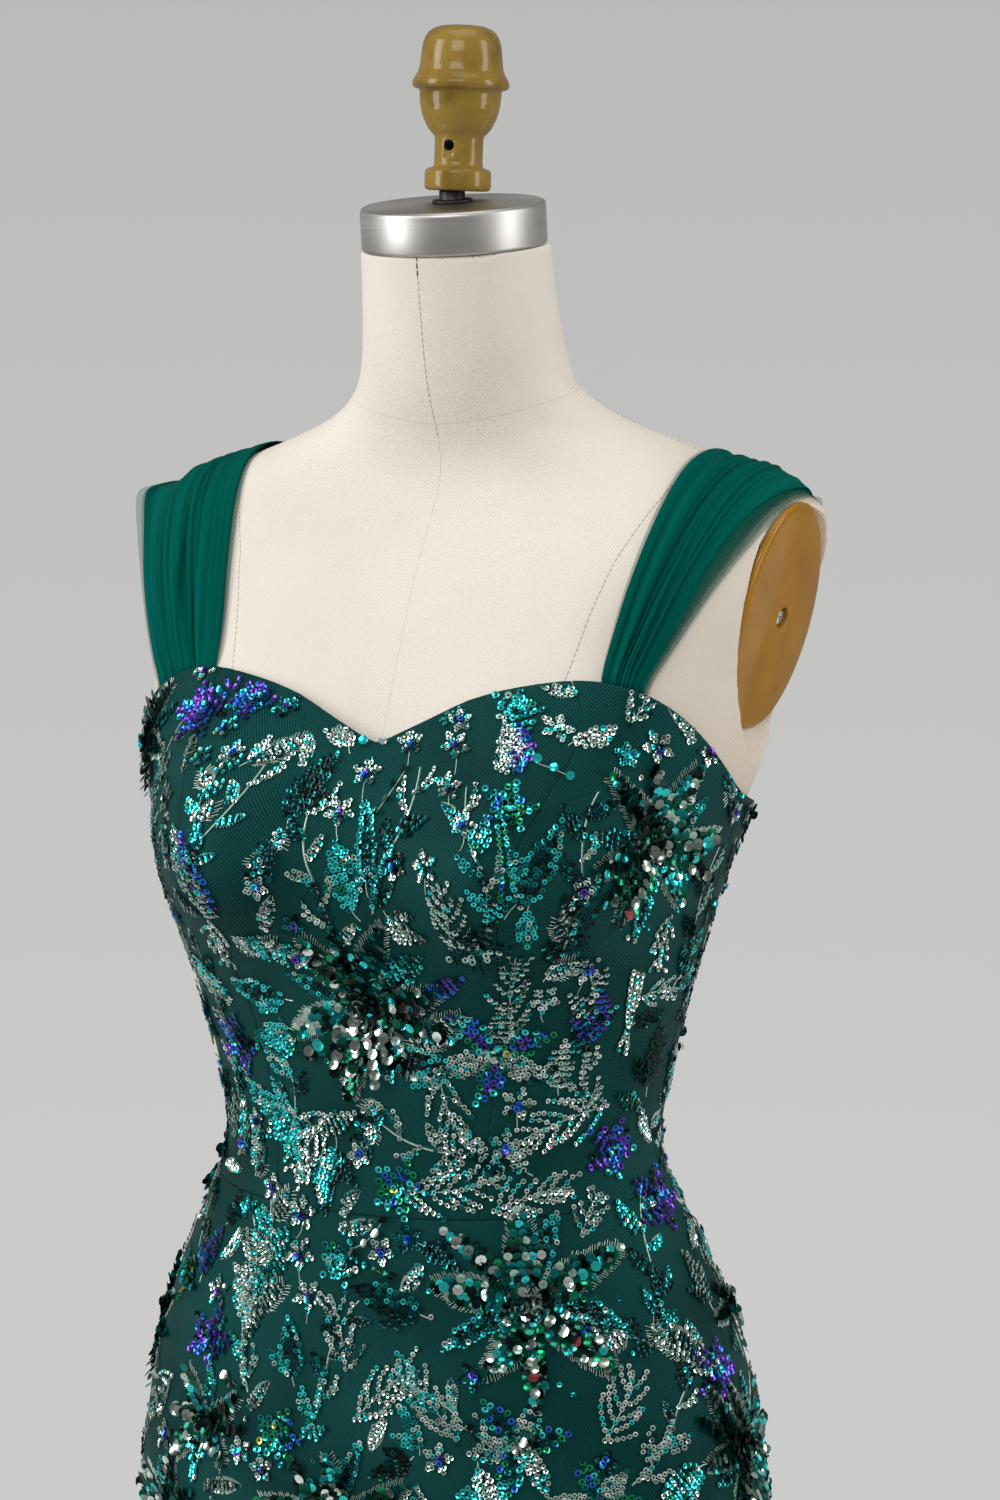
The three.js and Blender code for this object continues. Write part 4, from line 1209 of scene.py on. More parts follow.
def vine(length=95.0, palette=DEEP, second=SEA, bend=0.6):
    """A long trailing stem, in part a double row of rings, with small leaves and stitched ones beside it."""
    m = Motif()
    lower, heads = bent((0, -length / 2), math.pi / 2 - bend / 2, length * 0.5, bend, 20)
    upper, heads_up = bent(lower[-1], heads[-1], length * 0.5, -bend * 1.4, 20)
    stem, headings = np.concatenate([lower, upper[1:]]), np.concatenate([heads, heads_up[1:]])
    m.thread(stem, 0.8)
    m.thread(stem + 0.7, 0.6, "green_thread")
    chain(m, lower[2], heads[2], length * 0.42, palette, RING, bend, True, False)
    for i in range(7):
        k = int((0.08 + 0.13 * i) * 38)
        side = 1 if i % 2 else -1
        heading = headings[k] + side * rng.uniform(0.7, 1.0)
        reach = rng.uniform(12, 19)
        style = rng.integers(4)
        if style == 0:
            small = stitched_leaf(reach, reach * 0.45, 0.4, second)
            graft(m, small, stem[k] + reach / 2 * towards(heading), heading - math.pi / 2)
        elif style == 1:
            chain(m, stem[k], heading, reach, MINT, SMALL_RING, -side * 0.8)
            chain(m, stem[k], heading + side * 0.3, reach * 0.75, MINT, SMALL_RING, -side * 0.8)
        else:
            leaf(m, stem[k], heading, reach, reach * 0.42, (palette, second)[style - 2], RING, -side * 0.4)
    return m


def graft(m, other, at, turned_by):
    """Adds another motif to this one, turned and moved."""
    c, s = math.cos(turned_by), math.sin(turned_by)
    for u, v, heading, *rest in other.sequins:
        m.sequins.append((at[0] + u * c - v * s, at[1] + u * s + v * c, heading + turned_by, *rest))
    for points, width, kind in other.threads:
        m.thread(points @ np.array([[c, s], [-s, c]]) + np.asarray(at), width, kind)


def ring_flower(size=27.0, petals=6, start=0.35, first=BLUES, second=MINT):
    """Petals of rings in two alternating colours about a silver heart."""
    m = Motif()
    for i in range(petals):
        heading = start + TAU * i / petals + rng.normal(0, 0.06)
        palette, edge, kind = (first, PEACOCK, BROAD_RING) if i % 2 == 0 else (second, MINT, SMALL_RING)
        length, bend = size * rng.uniform(0.85, 1.05), rng.normal(0, 0.2)
        leaf(m, towards(heading) * 3.5, heading, length, size * 0.4, palette, kind, bend, edge=edge)
    heart(m, 3.6, count=6)
    return m


def star_flower(size=14.0, palette=VIOLET, petals=5, start=1.2):
    """A small five-petalled flower with a dark heart."""
    m = Motif()
    for i in range(petals):
        heading = start + TAU * i / petals
        length = size * rng.uniform(0.85, 1.08)
        leaf(m, towards(heading) * 1.5, heading, length, size * 0.55, palette, BROAD_RING)
    for i in range(5):
        around = rng.uniform(0, 6.28)
        m.sequin(*2.2 * towards(around), around, RING, NIGHT if i % 2 else SEA, 0.35, 0.9)
    return m


def floret(size=7.5, palette=MINT, middle=VIOLET, stalk=0.0):
    """A tiny blossom of a few rings, on a thread."""
    m = Motif()
    start = rng.uniform(0, 6.28)
    for i in range(5):
        heading = start + TAU * i / 5
        for out, off in ((0.36, 0), (0.66, -0.22), (0.66, 0.22), (0.9, 0)):
            m.sequin(*size * out * towards(heading + off), heading + off, SMALL_RING, palette, 0.2)
    for _ in range(3):
        m.sequin(rng.normal(0, 0.9), rng.normal(0, 0.9) - size * 0.12, 0, BROAD_RING, middle, 0.3, 0.7)
    if stalk:
        points, _ = bent((0, -size * 0.7), -math.pi / 2, stalk, rng.normal(0, 0.4), 8)
        m.thread(points, 0.5)
    return m


def spray(length=42.0, reach=17.0, pairs=6, palette=MINT, bend=0.25):
    """A fern-like spray: curved strands of rings leave a stem on both sides, most of them low down."""
    m = Motif()
    stem, headings = bent((0, -length / 2), math.pi / 2 - bend / 2, length, bend, 30)
    m.thread(stem, 0.6)
    for i in range(pairs):
        for side in (1, -1):
            place = (i + 0.3 * side + rng.uniform(-0.2, 0.2)) / max(pairs - 1, 1)
            t = np.clip(0.04 + 0.84 * place, 0.02, 0.9)
            k = int(t * 29)
            long = reach * (1.25 - 0.65 * t) * rng.uniform(0.75, 1.2)
            heading = headings[k] + side * rng.uniform(0.7, 1.05)
            chain(m, stem[k], heading, long, palette, SMALL_RING, -side * rng.uniform(0.5, 0.9))
    chain(m, stem[int(29 * 0.6)], headings[-1], length * 0.42, palette, SMALL_RING, rng.normal(0, 0.15))
    return m


def stitched_leaf(length=30.0, width=11.0, bend=0.4, filled=None):
    """A leaf drawn in close slanting stitches, with a few rings along its vein."""
    m = Motif()
    points, headings = bent((0, -length / 2), math.pi / 2 - bend / 2, length, bend, int(length / 1.15))
    for i, (p, h) in enumerate(zip(points, headings)):
        half = width / 2 * math.sin(math.pi * (0.05 + 0.93 * i / len(points)) ** 0.85)
        for side in (1, -1):
            tip = p + half * towards(h + side * 1.05)
            if rng.random() < 0.85:
                start = p + (tip - p) * (0.35 if filled is None else 0.62)
                m.thread([start, tip], 0.6)
    if filled is not None:
        foot = (0, -length / 2 + 2)
        leaf(m, foot, math.pi / 2 - bend / 2, length * 0.8, width * 0.5, filled, SMALL_RING, bend)
    return m


def twig(length=46.0, palette=SEA, leaves=5, bend=0.4):
    """A thread stem with small leaves of rings and a blossom at its tip."""
    m = Motif()
    stem, headings = bent((0, -length / 2), math.pi / 2, length, bend, 24)
    m.thread(stem, 0.7)
    m.thread(stem + 0.5, 0.5, "green_thread")
    for i in range(leaves):
        k = int((0.1 + 0.8 * i / leaves) * 23)
        side = 1 if i % 2 else -1
        heading, edged = headings[k] + side * 0.85, i % 3 == 0
        colours = MINT if edged else palette
        leaf(m, stem[k], heading, length * 0.27, length * 0.13, colours, SMALL_RING, side * -0.3, edged=edged)
    for u, v, *rest in floret(6.5, BRIGHT_MINT).sequins:
        m.sequins.append((u + stem[-1][0], v + stem[-1][1], *rest))
    return m


def blade(length=42.0, width=12.0, palette=DEEP, bend=0.5, edge=None, edged=False):
    """One curved leaf, with a smaller lobe beside its foot and a thread stalk."""
    m = Motif()
    foot, heading = (0, -length / 2), math.pi / 2 - bend / 2
    leaf(m, foot, heading, length, width, palette, RING, bend, edge=edge, edged=edged)
    if length > 23:
        side = 1 if bend < 0 else -1
        low, aside = (side * 2, -length * 0.42), heading - side * 0.75
        leaf(m, low, aside, length * 0.5, width * 0.55, edge or palette, RING, -side * 0.4)
    stalk, _ = bent(foot, heading + math.pi, length * 0.22, 0.5, 6)
    m.thread(stalk, 0.6)
    return m


def crescent(length=40.0, width=10.0, inside=MINT, outside=BLUES, bend=1.1):
    """Two leaves bent the same way, one within the other."""
    m = Motif()
    heading, beside = math.pi / 2 - bend / 2, (width * 0.55, -length / 2 + 3)
    leaf(m, (0, -length / 2), heading, length, width, inside, SMALL_RING, bend)
    leaf(m, beside, heading, length * 0.8, width * 0.5, outside, BROAD_RING, bend)
    return m


def column(length=40.0, palette=MINT, rows=3):
    """A hanging bunch of wavy rows of rings."""
    m = Motif()
    for i in range(rows):
        off = (i - (rows - 1) / 2) * 3.1
        top = (off, length / 2 - rng.uniform(0, 6))
        chain(m, top, -math.pi / 2, length * rng.uniform(0.7, 1), palette, RING, rng.normal(0, 0.15))
    return m


def drops(count=4, spread=10.0, palette=LOOSE):
    """Loose paillettes on a thread."""
    m = Motif()
    points, _ = bent((0, -spread / 2), math.pi / 2, spread, rng.normal(0, 0.5), max(count, 3))
    m.thread(points, 0.5)
    for p in points[:count]:
        m.sequin(p[0] + rng.normal(0, 0.6), p[1], 0, PAILLETTE, palette, 0.45, 0.9)
    return m


# ---------------------------------------------------------------- setting it on the skin

CELL = 2.5 * MM  # cells that note where the dress is already covered
GRID_AROUND = int(TAU * 0.16 / CELL)
GRID_UP = int((TOP_Z - HEM_Z) / CELL) + 2
taken = np.zeros((GRID_AROUND, GRID_UP), bool)
placed_sequins, placed_threads = [], []


def cells(turn, z):
    a = ((turn + math.pi) / (TAU) * GRID_AROUND).astype(int) % GRID_AROUND
    return a, np.clip(((z - HEM_Z) / CELL).astype(int), 0, GRID_UP - 1)


def to_skin(uv, turn, z, angle, scale, mirror):
    """Turns and heights of flat points, laid out from this place on the skin."""
    u, v = uv[:, 0] * MM * scale * (-1 if mirror else 1), uv[:, 1] * MM * scale
    c, s = math.cos(angle), math.sin(angle)
    u, v = u * c - v * s, u * s + v * c
    z_now = z + v / np.linalg.norm(skin(turn, z)[3])
    guess = turn + u / skin(turn, z_now)[4]
    between = skin((turn + guess) / 2, z_now)[4]
    return turn + u / between, z_now


def inside_dress(turn, z, margin=2.0 * MM):
    return (z < neckline(turn) - margin) & (z > HEM_Z + 3.2 * MM)


def set_motif(m, turn, up, angle=0.0, scale=1.0, mirror=False, most_overlap=None):
    """Puts a motif on the dress, unless it would cover too much that is there already."""
    turn, z, angle = math.radians(turn), WAIST + up * MM, math.radians(angle)
    data = np.array(m.sequins)
    turns, heights = to_skin(data[:, :2], turn, z, angle, scale, mirror)
    keep = inside_dress(turns, heights)
    if keep.sum() < 0.35 * len(keep):
        return False
    a, b = cells(turns, heights)
    if most_overlap is not None and taken[a, b][keep].mean() > most_overlap:
        return False
    heading = data[:, 2] * (-1 if mirror else 1) + (math.pi if mirror else 0) + angle
    placed_sequins.append(np.column_stack([turns, heights, heading, data[:, 3:]])[keep])
    for beside in (-1, 0, 1):
        for above in (-1, 0, 1):
            taken[(a[keep] + beside) % GRID_AROUND, np.clip(b[keep] + above, 0, GRID_UP - 1)] = True
    for points, width, kind in m.threads:
        t, h = to_skin(points, turn, z, angle, scale, mirror)
        good = inside_dress(t, h, 1.0 * MM)
        if good.sum() > 1 and good.all():
            placed_threads.append((t, h, width, kind))
        elif good.sum() > 2:
            run = np.flatnonzero(good)
            run = run[: np.argmax(np.append(np.diff(run), 9) > 1) + 1]
            if len(run) > 1:
                placed_threads.append((t[run], h[run], width, kind))
    return True


# The front, as a maker would lay it out: turn in degrees, height in millimetres above the waist, and where it
# isn't upright or of its own size, the angle in degrees and the share of its size.
FRONT_LAYOUT = [
    # the three wide flowers
    (big_flower(42, 12, 0.2, True), 0, 86),
    (big_flower(50, 10, 0.45), 45, -66),
    (big_flower(40, 12, 0.1), 67, 174),
    # the top edge, from the wearer's right
    (star_flower(17, VIOLET, 6), -52, 240, 0, 1.05),
    (star_flower(12, BLUES), -41, 247),
    (twig(44, SEA, 5, -0.35), -36, 200, 20),
    (blade(24, 9, MINT, 0.3, edged=True), -27, 222, -50),
    (column(44, SEA, 4), -60, 186, -6),
    (crescent(48, 12, MINT, BLUES, 0.6), -36, 158, 25),
    (blade(26, 11, BRIGHT_MINT, 0.4), -12, 236, 25),
    (blade(36, 14, NIGHT, -0.5, edge=DEEP), -14, 205, -20),
    (floret(7.5, MINT, VIOLET, 14), 0, 212),
    (floret(7.5, MINT, BLUES, 10), -5, 192),
    (floret(7.0, MINT, BLUES, 8), 13, 228),
    (floret(8.0, MINT, VIOLET, 8), 21, 243),
    (floret(8.0, MINT, VIOLET, 12), 27, 228),
    (floret(8.0, MINT, BLUES, 12), 25, 208),
    (floret(7.0, MINT, VIOLET, 10), 28, 190),
    (blade(40, 9, DEEP, 0.5, edge=SEA), 3, 178, 10),
    (blade(34, 8, SEA, -0.4), -2, 160, 15),
    (drops(4, 26, {"silver": 3, "cyan": 3, "dark": 1}), 9, 203, -30),
    (floret(8.0, MINT, BLUES, 8), 12, 166),
    (floret(8.0, MINT, SEA, 8), 20, 168),
    (crescent(34, 12, MINT, VIOLET, 0.9), 38, 230, -10),
    (star_flower(11, SEA), 43, 247),
    (floret(8, BRIGHT_MINT, SEA), 50, 238),
    (drops(3, 16), 47, 218, 60),
    (blade(22, 8, BRIGHT_MINT, 0.2), 57, 235, -70),
    (star_flower(12, PEACOCK), 37, 200),
    (blade(44, 13, DEEP, 0.5, edge=SEA), 42, 172, -30),
    (column(34, PEACOCK, 2), 35, 178),
    # between the wide flowers
    (spray(36, 15, 5, MINT, 0.3), 24, 142, 10),
    (star_flower(15, {"deep_teal": 4, "mint": 2}, 5), 31, 126),
    (twig(52, DEEP, 6, 0.3), 50, 130, -20),
    (spray(46, 14, 7, MINT, -0.2), 40, 98, 5),
    (ring_flower(27, 6, 0.35), 38, 66),
    (blade(26, 10, VIOLET, 0.1), 60, 86),
    (column(42, MINT, 3), 69, 88, 4),
    (spray(28, 10, 4, BRIGHT_MINT), 74, 122, 180),
    (blade(32, 13, NIGHT, 0.2), 80, 60),
    (floret(8, MINT, BLUES, 10), 55, 112),
    (floret(8, MINT, SEA, 8), 47, 96),
    (blade(24, 11, MINT, 0.2), 54, 60),
    (blade(30, 12, MINT, 0.5, edged=True), 22, 78, -55),
    (blade(20, 9, VIOLET, 0.1), 24, 103, -60),
    (blade(28, 10, SEA, 0.4), 12, 112, -60),
    (blade(34, 12, DEEP, 0.4, edge=SEA), 16, 60, 70),
    # the waist
    (spray(44, 17, 6, BRIGHT_MINT, 0.3), 57, 26, 110),
    (floret(8.5, MINT, BLUES, 8), 44, 38),
    (floret(8.5, MINT, VIOLET, 8), 41, 15),
    (star_flower(15, VIOLET), 70, 10),
    (star_flower(17, VIOLET), 83, -20),
    (spray(50, 15, 7, MINT, 0.5), 26, -6, -80),
    (spray(40, 14, 6, BRIGHT_MINT, -0.3), 48, -14, -75),
    (spray(40, 18, 5, MINT, 0.4), 26, 34, 200),
    (star_flower(13, PEACOCK), 9, -10),
    (blade(30, 12, SEA, -0.4), -40, 32, 60),
    (blade(26, 11, SEA, 0.5), -33, 14, 110),
    (spray(38, 16, 5, BRIGHT_MINT, 0.3), -23, 8, 150),
    (blade(32, 14, SEA, 0.1, edge=DEEP), -15, -10, 170),
    (blade(22, 8, MINT, 0.4), -12, 24, -60),
    (star_flower(14, VIOLET), -48, 60),
    (spray(40, 13, 6, MINT, 0.2), -58, 112, 160),
    (crescent(34, 10, MINT, SEA, 0.8), -52, 92, 60),
    (blade(30, 12, DEEP, 0.4, edge=SEA), -33, 92, 80),
    (blade(26, 11, SEA, 0.3), -32, 66, 100),
    (column(30, MINT, 3), -62, 150, 10),
    # the skirt
    (twig(64, SEA, 7, 0.2), -35, -52, -5),
    (floret(8.5, MINT, VIOLET, 8), -25, -28),
    (floret(8.5, MINT, VIOLET, 8), -25, -50),
    (floret(8.5, MINT, BLUES, 8), -21, -72),
    (star_flower(11, SEA), -10, -52),
    (blade(36, 14, DEEP, 0.5, edge=DEEP), 5, -70, 75),
    (drops(4, 24, {"silver": 1, "cyan": 1, "grey": 1, "dark": 1}), 0, -38, -60),
    (floret(8, {"deep_teal": 1, "teal": 1}, BLUES), 12, -36),
    (crescent(30, 13, BRIGHT_MINT, MINT, 0.8), -44, -76, 30),
    (star_flower(15, VIOLET), -52, -104),
    (blade(26, 9, VIOLET, 0.1), -57, -58, -20),
    (spray(36, 14, 5, MINT, 0.2), -10, -90, 15),
    (spray(42, 17, 6, BRIGHT_MINT, -0.3), 6, -120, -50),
    (big_flower(27, 8, 0.7), -50, -150),
    (blade(28, 12, DEEP, 0.2, edge=SEA), -26, -100, 10),
    (blade(28, 10, MINT, 0.4), 86, -62, 20),
    (blade(30, 11, MINT, -0.4, edged=True), 76, -92, 60),
    (star_flower(15, VIOLET), 84, -110),
    (big_flower(22, 8, 0.1), 99, -84),
    (spray(36, 15, 5, BRIGHT_MINT, 0.3), 62, -122, -30),
    (ring_flower(24, 6, 0.1, DEEP, MINT), 42, -142),
    (spray(40, 16, 6, MINT, 0.3), 20, -126, 40),
    (twig(44, DEEP, 5), 66, -84, 60),
    (star_flower(13, PEACOCK), -28, -150),
]
UNDERGROWTH = [  # trailing stems, laid first
    (vine(90, SEA, MINT, 0.5), -58, 190),
    (vine(80, DEEP, SEA, -0.5), -30, 178, -15),
    (vine(84, DEEP, MINT, 0.5), -10, 160, 12),
    (vine(78, SEA, DEEP, -0.4), 12, 178, -18),
    (vine(70, DEEP, SEA, 0.5), 30, 172, 10),
    (vine(80, DEEP, MINT, 0.6), 50, 166, -12),
    (vine(80, DEEP, SEA, 0.5), 84, 130),
    (vine(80, MINT, DEEP, -0.5), 60, 70, 8),
    (vine(84, SEA, MINT, 0.5), -52, 70, -8),
    (vine(80, SEA, DEEP, -0.5), -28, 30, 10),
    (vine(80, DEEP, MINT, 0.5), 26, 10, 75),
    (vine(80, DEEP, SEA, 0.4), 74, -50, -10),
    (vine(90, MINT, SEA, -0.5), -40, -80, 5),
    (vine(80, SEA, DEEP, 0.5), -14, -110, -20),
    (vine(80, DEEP, SEA, -0.5), 28, -130, 60),
    (vine(80, MINT, DEEP, 0.5), 72, -130, -40),
]
LAYOUT_SCALE = 1.1


def sew(motif, turn, up, angle=0, share=1):
    set_motif(motif, turn, up, angle, share * LAYOUT_SCALE)


for row in UNDERGROWTH + FRONT_LAYOUT:
    sew(*row)

# The rest of the dress carries on in the same way: wide flowers first, then whatever fits between.


def one_of(*choices):
    return choices[rng.integers(len(choices))]


def either(share, first, second):
    return first if rng.random() < share else second


FILL = [  # how many places to try, how much may overlap, and what to sew there
    (260, 0.02, lambda: big_flower(rng.uniform(32, 42), int(rng.integers(10, 14)), rng.uniform(0, 6))),
    (420, 0.03, lambda: ring_flower(rng.uniform(22, 28), 6, rng.uniform(0, 6), either(0.4, DEEP, BLUES))),
    (700, 0.06, lambda: vine(
        rng.uniform(70, 95), *one_of((DEEP, SEA), (SEA, MINT), (DEEP, MINT)), rng.normal(0, 0.5)
    )),
    (900, 0.05, lambda: spray(rng.uniform(34, 48), rng.uniform(13, 17), 5, MINT, rng.normal(0, 0.3))),
    (700, 0.05, lambda: star_flower(rng.uniform(13, 17), either(0.7, VIOLET, PEACOCK))),
    (600, 0.05, lambda: stitched_leaf(rng.uniform(20, 30), rng.uniform(9, 12), rng.normal(0, 0.4), MINT)),
    (900, 0.05, lambda: blade(
        rng.uniform(22, 36), rng.uniform(9, 13), one_of(DEEP, SEA, NIGHT, MINT), rng.normal(0, 0.5)
    )),
    (1500, 0.06, lambda: floret(rng.uniform(7.5, 9), MINT, either(0.6, VIOLET, BLUES))),
]
FRONT_FILL = [  # small pieces that close the gaps of the front layout
    (400, 0.08, lambda: twig(rng.uniform(26, 38), one_of(SEA, DEEP), 6, rng.normal(0, 0.5))),
    (300, 0.08, lambda: spray(rng.uniform(24, 34), 11, 4, MINT, rng.normal(0, 0.3))),
    (300, 0.08, lambda: stitched_leaf(rng.uniform(18, 26), rng.uniform(8, 11), rng.normal(0, 0.4), MINT)),
    (500, 0.08, lambda: blade(
        rng.uniform(16, 26), rng.uniform(7, 10), one_of(DEEP, SEA, MINT, NIGHT), rng.normal(0, 0.4)
    )),
    (500, 0.10, lambda: floret(rng.uniform(7.5, 9), MINT, VIOLET)),
    (400, 0.10, lambda: floret(rng.uniform(6.5, 8), one_of(DEEP, SEA), BLUES)),
    (120, 0.10, lambda: drops(3, 12, {"silver": 1, "cyan": 2, "emerald": 2, "dark": 2})),
]
BARE = [  # places left plain: turn and height of the middle, half width in degrees, half height
    {"turn": -20, "up": 243, "wide": 9, "tall": 16},
    {"turn": 13, "up": 22, "wide": 9, "tall": 18},
    {"turn": 70, "up": -48, "wide": 9, "tall": 22},
    {"turn": 30, "up": 252, "wide": 7, "tall": 9},
    {"turn": 52, "up": 205, "wide": 6, "tall": 12},
    {"turn": 6, "up": 136, "wide": 7, "tall": 12},
    {"turn": -62, "up": -120, "wide": 8, "tall": 30},
    {"turn": 22, "up": -98, "wide": 8, "tall": 14},
    {"turn": 80, "up": 160, "wide": 6, "tall": 14},
]
MOST_SEQUINS = 44000


def off_the_front(turn, up):
    """Whether a place lies off the front layout, while there are sequins left to sew."""
    return not (-65 < turn < 105 and -150 < up < 262) and sum(map(len, placed_sequins)) <= MOST_SEQUINS


def not_bare(turn, up):
    """Whether a place lies off the ground that the front keeps plain."""
    return all(((turn - b["turn"]) / b["wide"]) ** 2 + ((up - b["up"]) / b["tall"]) ** 2 >= 1 for b in BARE)


def crowded(turn, up):
    a, b = cells(np.array([math.radians(turn)]), np.array([WAIST + up * MM]))
    return taken[a[0], b[0]]


for rows, turns, heights, allowed in (
    (FILL, (-180, 180), (-440, 225), off_the_front),
    (FRONT_FILL, (-70, 110), (-190, 262), not_bare),
):
    for tries, overlap, make in rows:
        for _ in range(tries):
            turn, up = rng.uniform(*turns), rng.uniform(*heights)
            if allowed(turn, up) and not crowded(turn, up):
                set_motif(make(), turn, up, rng.uniform(-180, 180), 1, rng.random() < 0.5, overlap)

sequins = np.concatenate(placed_sequins)

# ---------------------------------------------------------------- sequin and thread meshes

OUTER, INNER = 8, 4
outer_angle = np.arange(OUTER) * TAU / OUTER
inner_angle = np.arange(INNER) * TAU / INNER
SEQUIN_FACES = []
for k in range(INNER):
    before, here, after = (2 * k - 1) % OUTER, 2 * k, 2 * k + 1
    inside, next_inside = OUTER + k, OUTER + (k + 1) % INNER
    SEQUIN_FACES += [(before, here, inside), (here, after, inside), (after, next_inside, inside)]
# the eye: two dark faces closing each sequin's hole, for the thread and painted shade
SEQUIN_FACES += [(OUTER, OUTER + 1, OUTER + 2), (OUTER, OUTER + 2, OUTER + 3)]  # the dark eye
SEQUIN_FACES = np.array(SEQUIN_FACES)


def sequin_mesh(name, rows):
    """Many sequins joined in one mesh: each a shallow pierced cup, tilted and swayed on the skin, with a dark
    eye in its hole for the thread and painted shade.
    """
    turn, z, heading, size, hole, cup, tilt, lift, colour = rows.T
    size = size * MM
    rise = 0.0003 + size * np.abs(np.sin(tilt)) + rng.uniform(0, 0.0005, len(rows)) + lift * MM
    middle, normal, around, upward, _ = skin(turn, z, rise)
    ahead = np.cos(heading)[:, None] * around + np.sin(heading)[:, None] * unit(upward)
    sway = rng.normal(0, 1, (len(rows), 2)) * np.where(size > 2 * MM, 0.17, 0.08)[:, None]
    side = np.cross(normal, ahead)
    face = unit(normal - ahead * np.tan(tilt + sway[:, 0])[:, None] + side * sway[:, 1:])
    across = unit(np.cross(face, ahead))
    along = np.cross(across, face)

    def ring(angles, radii, sunk):
        spread = np.cos(angles)[:, None] * along[:, None] + np.sin(angles)[:, None] * across[:, None]
        return middle[:, None] + spread * radii[:, None, None] - face[:, None] * sunk[:, None, None]

    outside = ring(outer_angle, size, np.zeros(len(rows)))
    eye = ring(inner_angle, size * hole, size * cup * 0.5)
    faces = (SEQUIN_FACES[None] + (np.arange(len(rows)) * (OUTER + INNER))[:, None, None]).reshape(-1, 3)
    colour = colour.astype(int)
    used = np.unique(colour)
    slots = np.repeat(np.searchsorted(used, colour)[:, None], len(SEQUIN_FACES), 1)
    # the eye's two faces take the dark material: thread and painted shade
    slots[:, -2:] = len(used)
    materials = [SEQUIN_MATERIALS[i] for i in used] + [EYE_THREAD_AND_SHADE]
    piece = new_object(name, np.concatenate([outside, eye], 1), faces, materials, indices=slots.ravel())


above = sequins[:, 1] > waist_seam(sequins[:, 0])
ahead_of = np.abs(sequins[:, 0]) < math.pi / 2
large = sequins[:, 3] > 2
MESH_SEQUINS = 13500  # the most in one mesh
for name, chosen in (
    ("bodice_front_rings", above & ahead_of & ~large),
    ("bodice_back_rings", above & ~ahead_of & ~large),
    ("bodice_paillettes", above & large),
    ("skirt_front_rings", ~above & ahead_of & ~large),
    ("skirt_back_rings", ~above & ~ahead_of & ~large),
    ("skirt_paillettes", ~above & large),
):
    rows = sequins[chosen]
    for part, start in enumerate(range(0, len(rows), MESH_SEQUINS)):
        sequin_mesh(f"sequins_{name}_{part}", rows[start : start + MESH_SEQUINS])

for kind, made in THREADS.items():
    cords = Cords()
    for turn, z, width, thread in placed_threads:
        if thread == kind:
            points, normals = skin(turn, z, 0.1 * MM)[:2]
            cords.add(points, normals, width * MM, 0.35 * MM)
    cords.build("embroidery_" + kind, made, "sequinned_net")

# ---------------------------------------------------------------- camera, light and floor

VIEW_AZIMUTH = math.radians(25)
VIEW_DISTANCE = 2.6
EYE_UP = 0.48
AIM_UP = 0.215
AIM_RIGHT = 0.0314
FOCAL = 3.2067  # the lens's length in picture heights
SENSOR_HEIGHT = 24
away = Vector((math.sin(VIEW_AZIMUTH), -math.cos(VIEW_AZIMUTH), 0))
right = Vector((math.cos(VIEW_AZIMUTH), math.sin(VIEW_AZIMUTH), 0))
eye = away * VIEW_DISTANCE + Vector((0, 0, WAIST + EYE_UP))
aim = Vector((0, 0, WAIST + AIM_UP)) + right * AIM_RIGHT
camera = linked("camera", bpy.data.cameras.new("camera"))
camera.location = eye
camera.rotation_euler = (aim - eye).to_track_quat("-Z", "Y").to_euler()
camera.data.sensor_fit = "VERTICAL"
camera.data.sensor_height = SENSOR_HEIGHT
camera.data.lens = FOCAL * SENSOR_HEIGHT
camera.data.clip_end = 40
bpy.context.scene.camera = camera


def softbox(name, place, size, power):
    """A rectangular lamp turned to the chest."""
    lamp = bpy.data.lights.new(name, "AREA")
    lamp.shape = "RECTANGLE"
    lamp.size, lamp.size_y = size
    lamp.energy = power
    holder = linked(name, lamp)
    holder.location = place
    holder.rotation_euler = (CHEST - place).to_track_quat("-Z", "Y").to_euler()


CHEST = Vector((0, 0, WAIST + 0.15))
LIGHTS = [  # place by how far right and towards the camera of the form, and height
    {"name": "left_box", "right": -2.1, "near": 0.6, "up": 1.85, "size": (0.8, 2.2), "power": 38},
    {"name": "right_box", "right": 2.1, "near": 0.7, "up": 1.8, "size": (0.65, 2.2), "power": 25},
    {"name": "front_box", "right": -0.5, "near": 2.3, "up": 2.9, "size": (1.6, 0.9), "power": 22},
    {"name": "rim_box", "right": 1.77, "near": -0.64, "up": 0.62, "size": (0.45, 1.15), "power": 0.9},
    {"name": "top", "right": 0.1, "near": 0.3, "up": 3.1, "size": (1.4, 1.4), "power": 9},
]
for light in LIGHTS:
    place = right * light["right"] + away * light["near"] + Vector((0, 0, light["up"]))
    softbox(light["name"], place, light["size"], light["power"])

world = bpy.data.worlds.new("studio")
world.use_nodes = True
studio = world.node_tree
room = studio.nodes["Background"]
room.inputs["Color"].default_value = (1, 0.97, 0.93, 1)
room.inputs["Strength"].default_value = 0.27
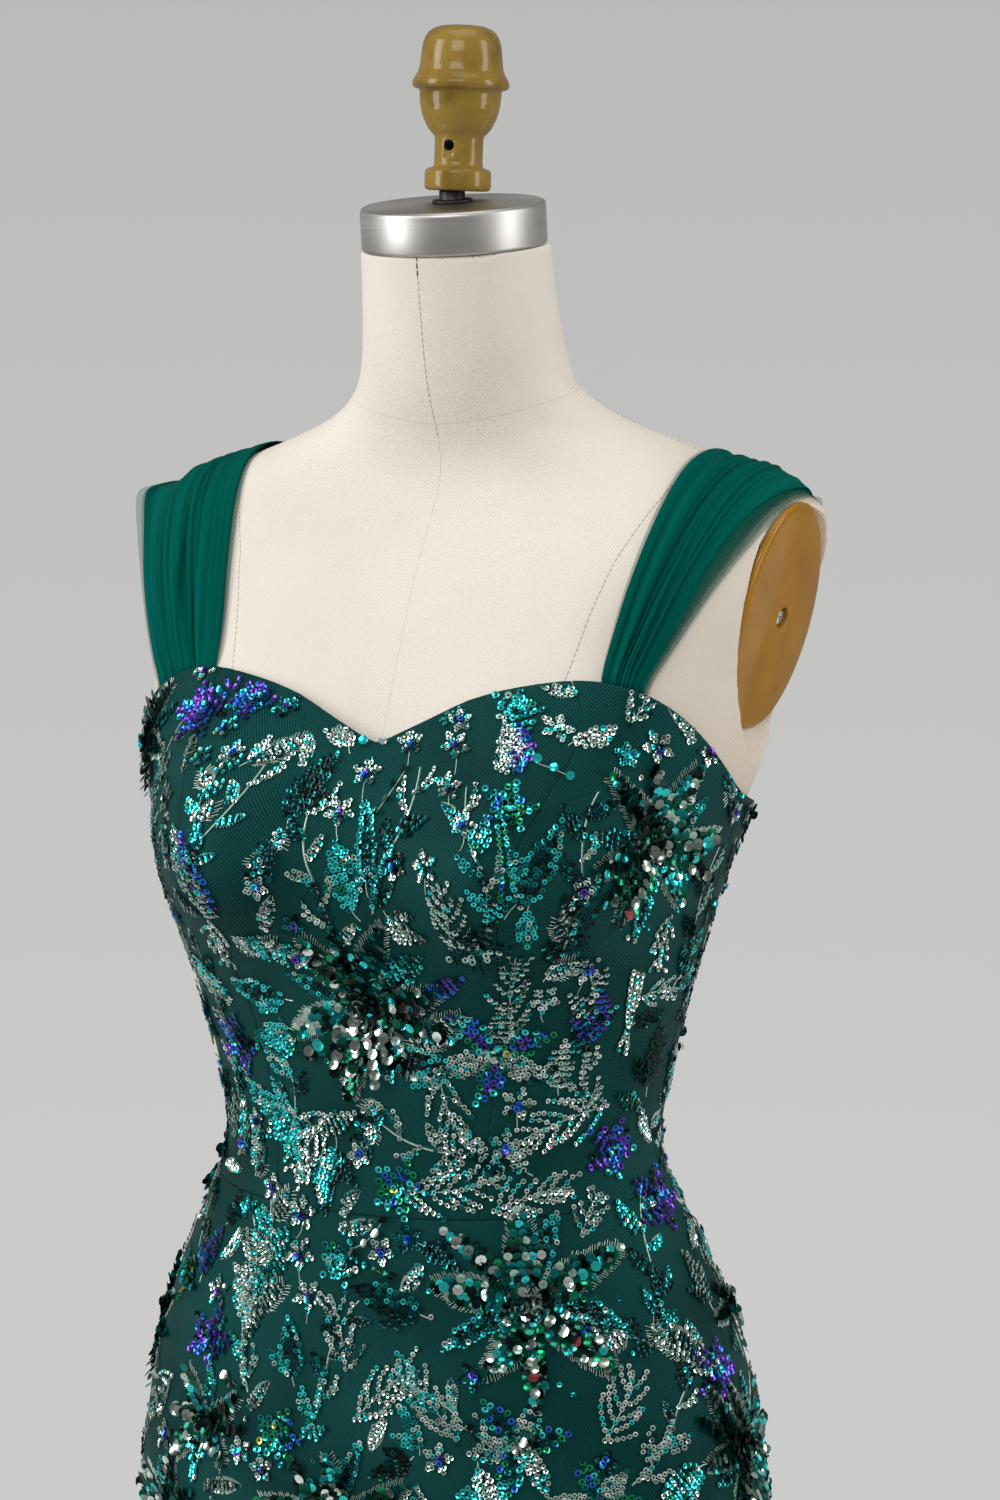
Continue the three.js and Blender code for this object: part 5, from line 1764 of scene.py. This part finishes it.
# seen only by camera rays: painted light on the paper, lighter low down and darker higher up
paper = studio.nodes.new("ShaderNodeBackground")  # the pale paper that is seen behind the form
paper.inputs["Strength"].default_value = 1
way = studio.nodes.new("ShaderNodeTexCoord")
split = studio.nodes.new("ShaderNodeSeparateXYZ")
fade = studio.nodes.new("ShaderNodeMapRange")
for socket, value in {"From Min": -0.2, "From Max": 0.06, "To Min": 0.0, "To Max": 1.0}.items():
    fade.inputs[socket].default_value = value
# painted light: the paper's tone falls from lighter below the horizon to darker above it
paper_painted_light = studio.nodes.new("ShaderNodeMix")
paper_painted_light.data_type = "RGBA"
paper_painted_light.inputs["A"].default_value = (0.597, 0.597, 0.592, 1)
paper_painted_light.inputs["B"].default_value = (0.490, 0.490, 0.485, 1)
seen = studio.nodes.new("ShaderNodeLightPath")
either = studio.nodes.new("ShaderNodeMixShader")
studio.links.new(way.outputs["Generated"], split.inputs["Vector"])
studio.links.new(split.outputs["Z"], fade.inputs["Value"])
studio.links.new(fade.outputs["Result"], paper_painted_light.inputs["Factor"])
studio.links.new(paper_painted_light.outputs["Result"], paper.inputs["Color"])
studio.links.new(seen.outputs["Is Camera Ray"], either.inputs["Fac"])
studio.links.new(room.outputs["Background"], either.inputs[1])
studio.links.new(paper.outputs["Background"], either.inputs[2])
studio.links.new(either.outputs["Shader"], studio.nodes["World Output"].inputs["Surface"])
bpy.context.scene.world = world
bpy.context.scene.view_settings.view_transform = "Standard"

FLOOR = {"radius": 3.1, "sides": 128}
floor_rim = [
    (FLOOR["radius"] * math.cos(a), FLOOR["radius"] * math.sin(a), -0.0004)
    for a in np.linspace(0, TAU, FLOOR["sides"], endpoint=False)
]
floor_mesh = bpy.data.meshes.new("floor")
floor_mesh.from_pydata(floor_rim, [], [tuple(range(FLOOR["sides"]))])
PALE = material("floor_paper", (0.66, 0.66, 0.65), 0.95)
grain = Graph(PALE)
grain.bump(grain.noise(400, 2.0), 0.0003, 0.1)
floor_mesh.materials.append(PALE)
linked("floor", floor_mesh)
